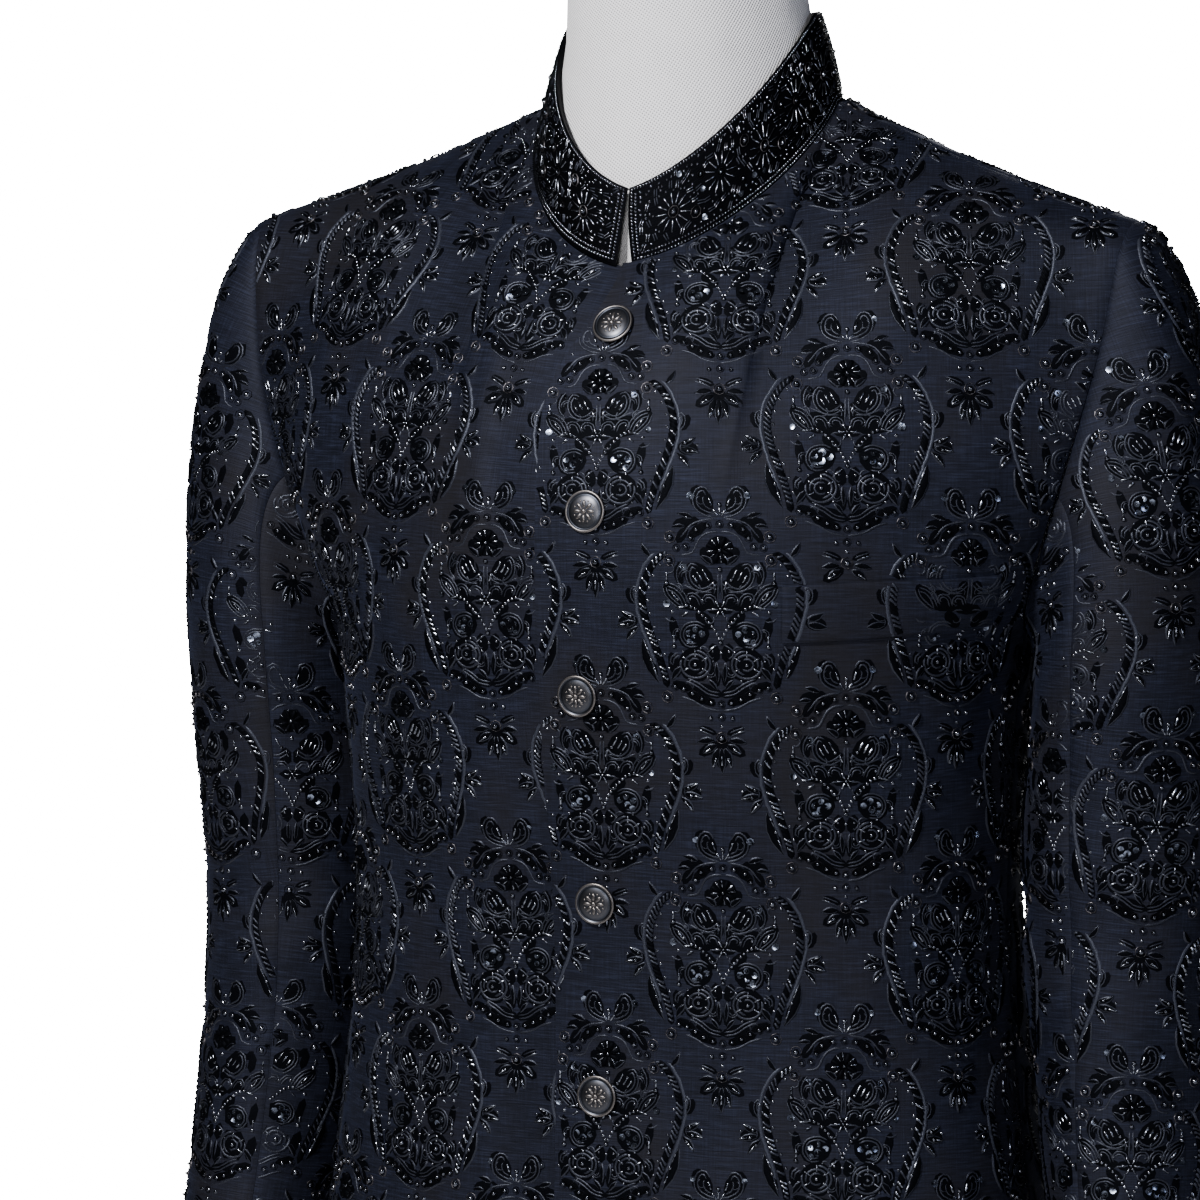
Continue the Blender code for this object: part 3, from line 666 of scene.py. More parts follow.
def new_finish(name: str) -> tuple[bpy.types.Material, bpy.types.NodeTree, bpy.types.Node]:
    """An empty material with its shader.

    Args:
        name: The material's name.

    Returns:
        The material, its tree and the shader node.
    """
    material = bpy.data.materials.new(name)
    material.use_nodes = True
    tree = material.node_tree
    return material, tree, tree.nodes["Principled BSDF"]


def tones(tree: bpy.types.NodeTree, factor: Any, stops: Sequence[tuple[float, str]]) -> Any:
    """Colours along a factor.

    Args:
        tree: The tree that the ramp goes in.
        factor: The output that picks the colour.
        stops: Positions and hex codes.

    Returns:
        The ramp's colour output.
    """
    ramp = add(tree, "ValToRGB", {"Fac": factor})
    elements = ramp.color_ramp.elements
    while len(elements) < len(stops):
        elements.new(0.5)
    for element, (position, code) in zip(elements, stops):
        element.position = position
        element.color = colour(code)
    return ramp.outputs["Color"]


@dataclass(frozen=True)
class RawSilk:
    """Slubby raw silk, hand woven: a dull navy shot with charcoal, its weft threads uneven."""

    name: str = "embroidered_silk"
    deep: str = "#06070b"
    mid: str = "#11131d"
    slub: str = "#212535"
    warm: str = "#141211"  # the warp's own colour, which shows in slow patches
    shot: float = 0.75
    sheen: float = 0.06
    shine: float = 0.19
    gleam: str = "#ccd0ea"
    slub_mm: tuple[float, float] = (16.0, 0.9)  # length and thickness of a slub
    warp_mm: tuple[float, float] = (0.8, 22.0)
    patch_mm: float = 85.0

    def build(self) -> bpy.types.Material:
        """Makes slubs across, faint warp lines, and slow changes of depth.

        Returns:
            The material.
        """
        material, tree, shader = new_finish(self.name)
        flat = add(tree, "TexCoord").outputs["UV"]

        def threads(size: tuple[float, float], detail: float) -> Any:
            """Noise drawn out along one thread direction.

            Args:
                size: Its two sizes, millimetres.
                detail: Its finer layers.

            Returns:
                The noise output.
            """
            scale = (1 / (size[0] * MM), 1 / (size[1] * MM), 1)
            place = add(tree, "Mapping", {"Vector": flat, "Scale": scale}).outputs["Vector"]
            noise = add(tree, "TexNoise", {"Vector": place, "Scale": 1.0, "Detail": detail,
                                           "Roughness": 0.6})
            return noise.outputs["Fac"]

        weft, warp = threads(self.slub_mm, 3.0), threads(self.warp_mm, 2.0)
        patch = threads((self.patch_mm, self.patch_mm * 1.4), 2.0)
        woven = add(tree, "Math", {0: weft, 1: 0.72}, operation="MULTIPLY").outputs[0]
        woven = add(tree, "Math", {0: warp, 1: 0.28, 2: woven}, operation="MULTIPLY_ADD").outputs[0]
        shade = add(tree, "Math", {0: patch, 1: 0.35, 2: -0.17}, operation="MULTIPLY_ADD").outputs[0]
        tone = add(tree, "Math", {0: woven, 1: shade}, operation="ADD").outputs[0]
        cool = tones(tree, tone, ((0.32, self.deep), (0.5, self.mid), (0.70, self.slub)))
        turned = add(tree, "MapRange", {"Value": patch, "From Min": 0.46, "From Max": 0.64,
                                        "To Max": self.shot})
        base = add(tree, "Mix", {0: turned.outputs["Result"], 6: cool, 7: colour(self.warm)},
                   data_type="RGBA").outputs[2]
        bump = add(tree, "Bump", {"Height": woven, "Strength": 0.8, "Distance": 0.5 * MM})
        feed(tree, shader, {"Base Color": base, "Normal": bump.outputs["Normal"], "Roughness": 0.6,
                            "Sheen Weight": self.sheen, "Sheen Roughness": 0.4,
                            "Sheen Tint": colour("#8391c4"), "Specular IOR Level": self.shine,
                            "Specular Tint": colour(self.gleam)})
        return material


@dataclass(frozen=True)
class Thread:
    """Silk thread laid close or twisted into a cord: a soft sheen broken by its strands."""

    name: str
    dark: str
    light: str
    roughness: float = 0.34
    shine: float = 0.5
    strand_mm: float = 0.5

    def build(self) -> bpy.types.Material:
        """Makes fine strands that vary in tone and stand a little proud.

        Returns:
            The material.
        """
        material, tree, shader = new_finish(self.name)
        flat = add(tree, "TexCoord").outputs["UV"]
        noise = add(tree, "TexNoise", {"Vector": flat, "Scale": 1 / (self.strand_mm * MM),
                                       "Detail": 2.0, "Roughness": 0.6})
        base = tones(tree, noise.outputs["Fac"], ((0.3, self.dark), (0.7, self.light)))
        bump = add(tree, "Bump", {"Height": noise.outputs["Fac"], "Strength": 0.6, "Distance": 0.3 * MM})
        feed(tree, shader, {"Base Color": base, "Normal": bump.outputs["Normal"],
                            "Roughness": self.roughness, "Specular IOR Level": self.shine,
                            "Specular Tint": colour("#c9cfe4")})
        return material


@dataclass(frozen=True)
class Glint:
    """A hard bright metallic trimming, such as mirrored glass, a foil disc or drawn wire."""

    name: str
    dark: str
    light: str
    roughness: float
    change_mm: float = 2.6  # each bead or disc takes a tone of its own

    def build(self) -> bpy.types.Material:
        """Makes tones that change from one trimming to the next.

        Returns:
            The material.
        """
        material, tree, shader = new_finish(self.name)
        flat = add(tree, "TexCoord").outputs["UV"]
        cells = add(tree, "TexNoise", {"Vector": flat, "Scale": 1 / (self.change_mm * MM), "Detail": 1.0})
        base = tones(tree, cells.outputs["Fac"], ((0.35, self.dark), (0.65, self.light)))
        feed(tree, shader, {"Base Color": base, "Roughness": self.roughness, "Metallic": 1.0})
        return material


@dataclass(frozen=True)
class Gunmetal:
    """Die-struck brass plated in satin gunmetal: rubbed brighter and warmer on high edges."""

    name: str = "gunmetal"
    deep: str = "#1d1d21"
    face: str = "#3e4149"
    edge: str = "#857e7a"
    grain_mm: float = 0.35

    def build(self) -> bpy.types.Material:
        """Makes dark hollows, satin faces and worn edges.

        Returns:
            The material.
        """
        material, tree, shader = new_finish(self.name)
        place = add(tree, "TexCoord").outputs["Object"]
        grain = add(tree, "TexNoise", {"Vector": place, "Scale": 1 / (self.grain_mm * MM), "Detail": 2.0})
        worn = add(tree, "NewGeometry").outputs["Pointiness"]
        worn = add(tree, "Math", {0: grain.outputs["Fac"], 1: 0.03, 2: worn}, operation="MULTIPLY_ADD")
        base = tones(tree, worn.outputs[0], ((0.44, self.deep), (0.515, self.face), (0.60, self.edge)))
        rough = add(tree, "MapRange", {"Value": grain.outputs["Fac"], "To Min": 0.30, "To Max": 0.42})
        feed(tree, shader, {"Base Color": base, "Roughness": rough.outputs["Result"], "Metallic": 1.0})
        return material


@dataclass(frozen=True)
class Linen:
    """Plain-woven off-white linen stretched over foam: matt, with a fine grid of round threads."""

    name: str = "linen"
    # painted shade in the gaps between the threads
    gap: str = "#3e3d43"
    thread: str = "#fbf9fc"
    pitch_mm: float = 1.45  # the cloth's own is about 1 mm, too fine to show
    relief_mm: float = 0.11
    uneven_mm: float = 14.0
    lean_degrees: float = 33.0

    def build(self) -> bpy.types.Material:
        """Makes two crossing sets of threads, with painted shade in the gaps between them.

        Returns:
            The material.
        """
        material, tree, shader = new_finish(self.name)
        flat = add(tree, "TexCoord").outputs["UV"]
        turned = add(tree, "Mapping", {"Vector": flat, "Rotation": (0, 0, math.radians(self.lean_degrees)),
                                       "Scale": (2 * math.pi / (self.pitch_mm * MM),) * 3})
        axes = add(tree, "SeparateXYZ", {"Vector": turned.outputs["Vector"]})
        waves = [add(tree, "Math", {0: axes.outputs[k]}, operation="SINE").outputs[0] for k in (0, 1)]
        crossing = add(tree, "Math", {0: waves[0], 1: waves[1]}, operation="MAXIMUM").outputs[0]
        uneven = add(tree, "TexNoise", {"Vector": flat, "Scale": 1 / (self.uneven_mm * MM), "Detail": 3.0})
        height = add(tree, "MapRange", {"Value": crossing, "From Min": -0.7, "From Max": 0.95})
        tone = add(tree, "Math", {0: uneven.outputs["Fac"], 1: 0.25, 2: height.outputs["Result"]},
                   operation="MULTIPLY_ADD").outputs[0]
        # the gaps between the threads take the painted shade
        base = tones(tree, tone, ((0.0, self.gap), (0.62, self.thread)))
        both = add(tree, "Math", {0: waves[0], 1: waves[1]}, operation="ADD").outputs[0]
        bump = add(tree, "Bump", {"Height": both, "Strength": 1.0, "Distance": self.relief_mm * MM})
        feed(tree, shader, {"Base Color": base, "Normal": bump.outputs["Normal"], "Roughness": 0.9,
                            "Sheen Weight": 0.35, "Specular IOR Level": 0.5})
        return material


@dataclass(frozen=True)
class SatinSteel:
    """Brushed steel: fine hairlines and a soft, slightly streaked shine."""

    name: str = "satin_steel"
    dark: str = "#a2a3a6"
    light: str = "#c6c7ca"
    hairline_mm: tuple[float, float, float] = (0.6, 0.6, 40.0)  # width, width and length of a hairline

    def build(self) -> bpy.types.Material:
        """Makes streaks that change the tone and the shine.

        Returns:
            The material.
        """
        material, tree, shader = new_finish(self.name)
        place = add(tree, "TexCoord").outputs["Object"]
        scale = tuple(1 / (size * MM) for size in self.hairline_mm)
        stretched = add(tree, "Mapping", {"Vector": place, "Scale": scale}).outputs["Vector"]
        streaks = add(tree, "TexNoise", {"Vector": stretched, "Scale": 1.0, "Detail": 3.0}).outputs["Fac"]
        base = tones(tree, streaks, ((0.3, self.dark), (0.7, self.light)))
        rough = add(tree, "MapRange", {"Value": streaks, "To Min": 0.26, "To Max": 0.40})
        feed(tree, shader, {"Base Color": base, "Roughness": rough.outputs["Result"], "Metallic": 1.0})
        return material


@dataclass(frozen=True)
class StudioPaint:
    """Matt pale studio paint with a faint roller texture."""

    name: str = "studio_floor"
    tone: str = "#f2f2f3"
    stipple_mm: float = 3.0

    def build(self) -> bpy.types.Material:
        """Makes an almost even pale grey.

        Returns:
            The material.
        """
        material, tree, shader = new_finish(self.name)
        place = add(tree, "TexCoord").outputs["Object"]
        stipple = add(tree, "TexNoise", {"Vector": place, "Scale": 1 / (self.stipple_mm * MM)}).outputs["Fac"]
        bump = add(tree, "Bump", {"Height": stipple, "Strength": 0.05, "Distance": 0.5 * MM})
        feed(tree, shader, {"Base Color": colour(self.tone), "Normal": bump.outputs["Normal"],
                            "Roughness": 0.8})
        return material


class Trim(Enum):
    """What an embroidered stitch is made of."""

    CORD = 0
    SATIN = 1
    JET = 2
    BUGLE = 3
    SEQUIN = 4
    WIRE = 5
    PALE = 6


# the two pieces that a panel's stitches make, each with its trims by rising number
TRIMS_OF = {
    "thread": (Trim.CORD, Trim.SATIN, Trim.PALE),
    "beads": (Trim.JET, Trim.BUGLE, Trim.SEQUIN, Trim.WIRE),
}


class Workbox:
    """Every finish of the piece, built once."""

    def __init__(self) -> None:
        """Builds the cloths and the trims."""
        self.silk = RawSilk().build()
        self.band = RawSilk("beaded_collar", "#010102", "#020203", "#050508", "#020202", sheen=0.0,
                            shine=0.04).build()
        self.linen = Linen().build()
        self.gunmetal = Gunmetal().build()
        self.steel = SatinSteel().build()
        self.trims = {
            Trim.CORD: Thread("silk_cord", "#06060a", "#20222b").build(),
            Trim.SATIN: Thread("satin_stitch", "#010102", "#040508", 0.55, 0.05).build(),
            Trim.PALE: Thread("padded_cord", "#0c0d12", "#343742", 0.40).build(),
            Trim.JET: Glint("jet_bead", "#45474e", "#74767f", 0.13).build(),
            Trim.BUGLE: Glint("bugle_bead", "#3f424b", "#8d909a", 0.20).build(),
            Trim.SEQUIN: Glint("foil_sequin", "#1c202a", "#9aa3b8", 0.20).build(),
            Trim.WIRE: Glint("antique_wire", "#232224", "#5a575a", 0.38).build(),
        }


# ---- embroidery ----
@dataclass(frozen=True)
class Stitches:
    """Finished stitches: corners in millimetres (x, y, height), faces, element and trim of each."""

    points: Array
    faces: Array
    element: Array
    trim: Array

    def moved(self, x: float, y: float, turn: float = 0.0) -> Stitches:
        """The same stitches at another place.

        Args:
            x, y: How far they move.
            turn: Degrees anticlockwise.

        Returns:
            The moved stitches.
        """
        c, s = math.cos(math.radians(turn)), math.sin(math.radians(turn))
        points = self.points.copy()
        points[:, :2] = points[:, :2] @ np.array([[c, s], [-s, c]]) + (x, y)
        return Stitches(points, self.faces, self.element, self.trim)


def gather(parts: Sequence[Stitches]) -> Stitches:
    """Joins stitches, renumbering their corners and elements.

    Args:
        parts: What to join.

    Returns:
        All of them in one.
    """
    corners = np.cumsum([0] + [len(p.points) for p in parts[:-1]])
    elements = np.cumsum([0] + [int(p.element.max()) + 1 for p in parts[:-1]])
    return Stitches(
        np.concatenate([p.points for p in parts]),
        np.concatenate([p.faces + c for p, c in zip(parts, corners)]),
        np.concatenate([p.element + e for p, e in zip(parts, elements)]),
        np.concatenate([p.trim for p in parts]),
    )


def smooth_line(knots: Knots, step: float) -> Array:
    """A smooth line through knots, in even steps.

    Args:
        knots: Places that it passes.
        step: Length of a step, millimetres.

    Returns:
        Points, (n, 2).
    """
    places = np.array(knots, dtype=float)
    slopes = np.gradient(places, axis=0)
    fine = [
        hermite(places[k], slopes[k], places[k + 1], slopes[k + 1], t)
        for k in range(len(places) - 1)
        for t in np.linspace(0, 1, 12, endpoint=False)
    ]
    fine = np.array(fine + [places[-1]])
    length = arc_lengths(fine)
    at = np.linspace(0, length[-1], max(3, int(round(length[-1] / step)) + 1))
    return np.stack([np.interp(at, length, fine[:, k]) for k in (0, 1)], axis=1)


def side_steps(line: Array) -> Array:
    """Unit steps to the left of a line of points.

    Args:
        line: Points, (n, 2).

    Returns:
        Steps, (n, 2).
    """
    along = np.gradient(line, axis=0)
    along /= np.linalg.norm(along, axis=1, keepdims=True)
    return np.stack([-along[:, 1], along[:, 0]], axis=1)


def turned_to(degrees: float) -> tuple[float, float]:
    """The unit step in a direction."""
    return math.cos(math.radians(degrees)), math.sin(math.radians(degrees))


@dataclass
class Needle:
    """Draws stitches one by one at a level of detail."""

    full: bool = True  # False draws with fewer faces
    seed: int = 1
    sunk: float = -0.12  # feet of the stitches, below the cloth's face
    finest_step: float = 2.4  # length of a cord's steps, millimetres

    def __post_init__(self) -> None:
        """Starts with nothing drawn."""
        self.random = np.random.default_rng(self.seed)
        self.drawn: list[Stitches] = []
        self.sides = 6 if self.full else 5
        self.step = self.finest_step if self.full else 1.5 * self.finest_step

    def put(self, points: Array, faces: Array, trim: Any, element: Array | None = None) -> None:
        """Keeps corners and triangles, the number of their trim, and of the element each belongs to."""
        none = np.zeros(len(faces), dtype=int)
        self.drawn.append(Stitches(points, faces, none if element is None else element, none + trim))

    def finished(self) -> Stitches:
        """All that has been drawn, joined."""
        return gather(self.drawn)

    def ridge(self, sections: Array, tips: Array, trims: Sequence[Trim], cut: bool = False) -> None:
        """A low ridge from tip to tip through cross-sections.

        Args:
            sections: Corners of each cross-section from left to right, (n, m, 3).
            tips: Its two pointed ends, (2, 3).
            trims: What each of its m - 1 lengthwise strips is made of.
            cut: Whether a panel's edge may cut it between two cross-sections.
        """
        count, wide = sections.shape[:2]
        tip = count * wide
        step = np.arange(1, count)
        faces, element, trim = [], [], []
        for strip, made_of in enumerate(trims):
            left = np.arange(count) * wide + strip
            right = left + 1
            faces += [np.stack([left[:-1], right[:-1], right[1:]], 1),
                      np.stack([left[:-1], right[1:], left[1:]], 1),
                      [[left[0], tip, right[0]], [left[-1], right[-1], tip + 1]]]
            element += [step, step, [0, count]]
            trim += [made_of.value] * (2 * count)
        number = np.concatenate(element) if cut else None
        points = np.concatenate([sections.reshape(-1, 3), tips])
        self.put(points, np.concatenate(faces), np.array(trim), number)

    def turned(self, x: float, y: float, profile: Sequence[tuple[float, float]], sides: int,
               trim: Trim, stretch: float = 1.0, lean: float = 0.0) -> None:
        """A small form turned about an upright axis.

        Args:
            x, y: Its place.
            profile: Radius and height of its rings from the foot; a last radius of 0 closes it.
            sides: Number of sides.
            trim: What it is made of.
            stretch: How much longer than wide it is.
            lean: Degrees that its long side is turned.
        """
        closed = profile[-1][0] == 0
        rings = profile[:-1] if closed else profile
        turn = np.arange(sides) * 2 * math.pi / sides
        c, s = turned_to(lean)
        points = []
        for radius, height in rings:
            u, v = radius * np.cos(turn) * stretch, radius * np.sin(turn)
            points.append(np.stack([x + u * c - v * s, y + u * s + v * c, 0 * u + height], axis=1))
        quads = grid_faces(len(rings), sides, closed=True)
        faces = [quads[:, [0, 1, 2]], quads[:, [0, 2, 3]]]
        if closed:
            points.append(np.array([[x, y, profile[-1][1]]]))
            top = (len(rings) - 1) * sides + np.arange(sides)
            faces.append(np.stack([top, np.roll(top, -1), np.full(sides, len(rings) * sides)], axis=1))
        self.put(np.concatenate(points), np.concatenate(faces), trim.value)

    def bead(self, x: float, y: float, radius: float, stretch: float = 1.0, lean: float = 0.0) -> None:
        """A round or oval jet bead.

        Args:
            x, y: Its place.
            radius: Its size.
            stretch, lean: How much longer than wide it is, and its lean in degrees.
        """
        profile = ((radius, self.sunk), (0.86 * radius, 0.75 * radius), (0, 1.35 * radius))
        rings = slice(None) if self.full and radius > 1.1 else slice(0, None, 2)
        self.turned(x, y, profile[rings], self.sides, Trim.JET, stretch, lean)

    def seed_bead(self, x: float, y: float, radius: float = 0.8) -> None:
        """A tiny jet bead."""
        self.turned(x, y, ((radius, self.sunk), (0, 1.5 * radius)), 5, Trim.JET)

    def ringed(self, x: float, y: float, large: bool = False) -> None:
        """A bead with a ring of wire round it.

        Args:
            x, y: Its place.
            large: Whether it is of the larger kind.
        """
        ring, radius = (2.9, 1.75) if large else (1.9, 1.2)
        self.bead(x, y, radius)
        profile = ((ring + 0.2, self.sunk), (ring, 0.6), (ring - 0.2, self.sunk))
        self.turned(x, y, profile[:3 if self.full and large else 2], self.sides + 2, Trim.WIRE)

    def ground(self, x: float, y: float, radius: float, stretch: float = 1.0, lean: float = 0.0) -> None:
        """A low oval of close black satin stitches, on which other stitches lie; it also serves as painted
        shade among dense stitches.
        """
        sides = (11 if radius > 3 else 8) if self.full else 6
        self.turned(x, y, ((radius, 0.14), (0, 0.42)), sides, Trim.SATIN, stretch, lean)

    def tube(self, x: float, y: float, lean: float, length: float = 4.4, radius: float = 0.5,
             trim: Trim = Trim.BUGLE, height: float = 0.0) -> None:
        """A bugle bead or a winding of thread.

        Args:
            x, y: Its middle.
            lean: Degrees from the x axis.
            length, radius: Its size.
            trim: What it is made of.
            height: How far it is lifted.
        """
        along = np.array([*turned_to(lean), 0.0])
        side = np.array([-along[1], along[0], 0.0]) * radius
        middle = np.array([x, y, height])
        up = np.array([0, 0, 1.7 * radius])
        foot = np.array([0, 0, self.sunk])
        ends = (-0.4, 0.4) if self.full else (0.0,)
        sections = [[middle + along * length * k + at for at in (side + foot, up, foot - side)] for k in ends]
        tips = [middle + along * length * k + 0.5 * up for k in (-0.5, 0.5)]
        self.ridge(np.array(sections), np.array(tips), (trim, trim))

    def sequin(self, x: float, y: float, radius: float = 1.8, tilt: float = 20.0) -> None:
        """A cupped foil disc, each lying at a slant of its own, held by a seed bead.

        Args:
            x, y: Its place.
            radius: Its size.
            tilt: Its greatest slant, degrees.
        """
        sides = self.sides + 1
        turn = np.arange(sides) * 2 * math.pi / sides + self.random.uniform(0, 1)
        slope, way = math.tan(math.radians(self.random.uniform(2, tilt))), self.random.uniform(0, 7)
        rim = np.stack([radius * np.cos(turn), radius * np.sin(turn)], axis=1)
        rise = 0.45 + slope * (rim[:, 0] * math.cos(way) + rim[:, 1] * math.sin(way))
        points = np.column_stack([rim + (x, y), np.maximum(rise, 0.05)])
        ring = np.arange(sides)
        faces = np.stack([ring, np.roll(ring, -1), 0 * ring + sides], axis=1)
        self.put(np.vstack([points, [x, y, 0.25]]), faces, Trim.SEQUIN.value)
        self.turned(x, y, ((0.45, 0.2), (0, 0.9)), 4, Trim.JET)

    def cord(self, line: Array, width: float = 1.15, height: float = 0.75, trim: Trim = Trim.CORD) -> None:
        """A cord couched along a line of points, its ends drawn to a tip.

        Args:
            line: Its middle, (n, 2).
            width, height: Its size.
            trim: What it is made of.
        """
        if len(line) < 3:
            return
        aside = side_steps(line)[1:-1] * 0.5 * width
        middle = line[1:-1]
        corners = [(middle + aside, self.sunk), (middle, height), (middle - aside, self.sunk)]
        sections = [np.column_stack([at, np.full(len(at), up)]) for at, up in corners]
        tips = np.column_stack([line[[0, -1]], [self.sunk] * 2])
        self.ridge(np.stack(sections, axis=1), tips, (trim, trim), cut=True)

    def leaf(self, base: tuple[float, float], tip: tuple[float, float], width: float,
             bend: float = 0.0) -> None:
        """A satin-stitch leaf inside a rim of cord.

        Args:
            base, tip: Its ends.
            width: Its greatest width.
            bend: How far its middle bows to the left.
        """
        start, end = np.array(base, dtype=float), np.array(tip, dtype=float)
        along = end - start
        side = np.array([-along[1], along[0]]) / np.linalg.norm(along)
        t = np.array([0.14, 0.38, 0.64, 0.87] if self.full else [0.22, 0.66])
        spine = start + along * t[:, None] + side * (bend * 4 * t * (1 - t))[:, None]
        wide = 0.5 * width * np.sin(math.pi * t**0.85) ** 0.8
        rim = np.maximum(wide - 0.75, 0.2)
        reach = ((wide, self.sunk), (rim, 0.85), (0 * wide, 0.35), (-rim, 0.85), (-wide, self.sunk))
        sections = [np.column_stack([spine + side * at[:, None], np.full(len(t), up)]) for at, up in reach]
        trims = (Trim.CORD, Trim.SATIN, Trim.SATIN, Trim.CORD)
        self.ridge(np.stack(sections, axis=1), np.array([[*start, self.sunk], [*end, self.sunk]]), trims)

    def rope(self, line: Array, width: float = 4.2, pitch: float = 2.5, lean: float = 48.0) -> None:
        """A padded rope wound with slanting tubes of bright thread.

        Args:
            line: Its middle.
            width: Its width.
            pitch: From one winding to the next.
            lean: Slant of the windings.
        """
        self.cord(line, width, 0.8, Trim.SATIN)
        length = arc_lengths(line)
        along = np.gradient(line, axis=0)
        pitch *= 1.0 if self.full else 1.35
        bright = self.random.choice((0.04, 0.12, 0.5))
        for at in np.arange(0.6 * pitch, length[-1] - 0.5 * pitch, pitch):
            x, y, dx, dy = (np.interp(at, length, v[:, k]) for v in (line, along) for k in (0, 1))
            thin = min(1.0, 0.5 + 3.0 * at * (length[-1] - at) / length[-1] ** 2)
            slant = math.degrees(math.atan2(dy, dx)) + lean + self.random.uniform(-5, 5)
            pick = self.random.random()
            made_of = Trim.BUGLE if pick < bright else Trim.CORD if pick < 0.7 else Trim.SATIN
            self.tube(x, y, slant, width * 1.2 * thin, 0.75, made_of, 0.25)

    def rays(self, x: float, y: float, count: int, inner: float, outer: float, start: float = 90.0,
             spread: float = 360.0, trim: Trim = Trim.BUGLE, radius: float = 0.5) -> None:
        """Tubes laid out like petals or rays.

        Args:
            x, y: Their centre.
            count: How many.
            inner, outer: Where each begins and ends, from the centre.
            start: Direction of the middle one, degrees.
            spread: Whole angle that they fill.
            trim: What they are made of.
            radius: Their radius.
        """
        step = spread / count if spread >= 360 else spread / max(1, count - 1)
        middle = 0.5 * (inner + outer)
        for k in range(count):
            angle = start + step * (k - (count - 1) / 2)
            c, s = turned_to(angle)
            self.tube(x + middle * c, y + middle * s, angle, outer - inner, radius, trim)


@dataclass(frozen=True)
class Run:
    """Cords side by side along one smooth line, given for the right side."""

    knots: tuple[tuple[float, float], ...]
    beside: tuple[float, ...] = (0.0,)  # distances from the line, + on its left
    width: float = 1.15
    fine: bool = False  # left out of the plainer medallion


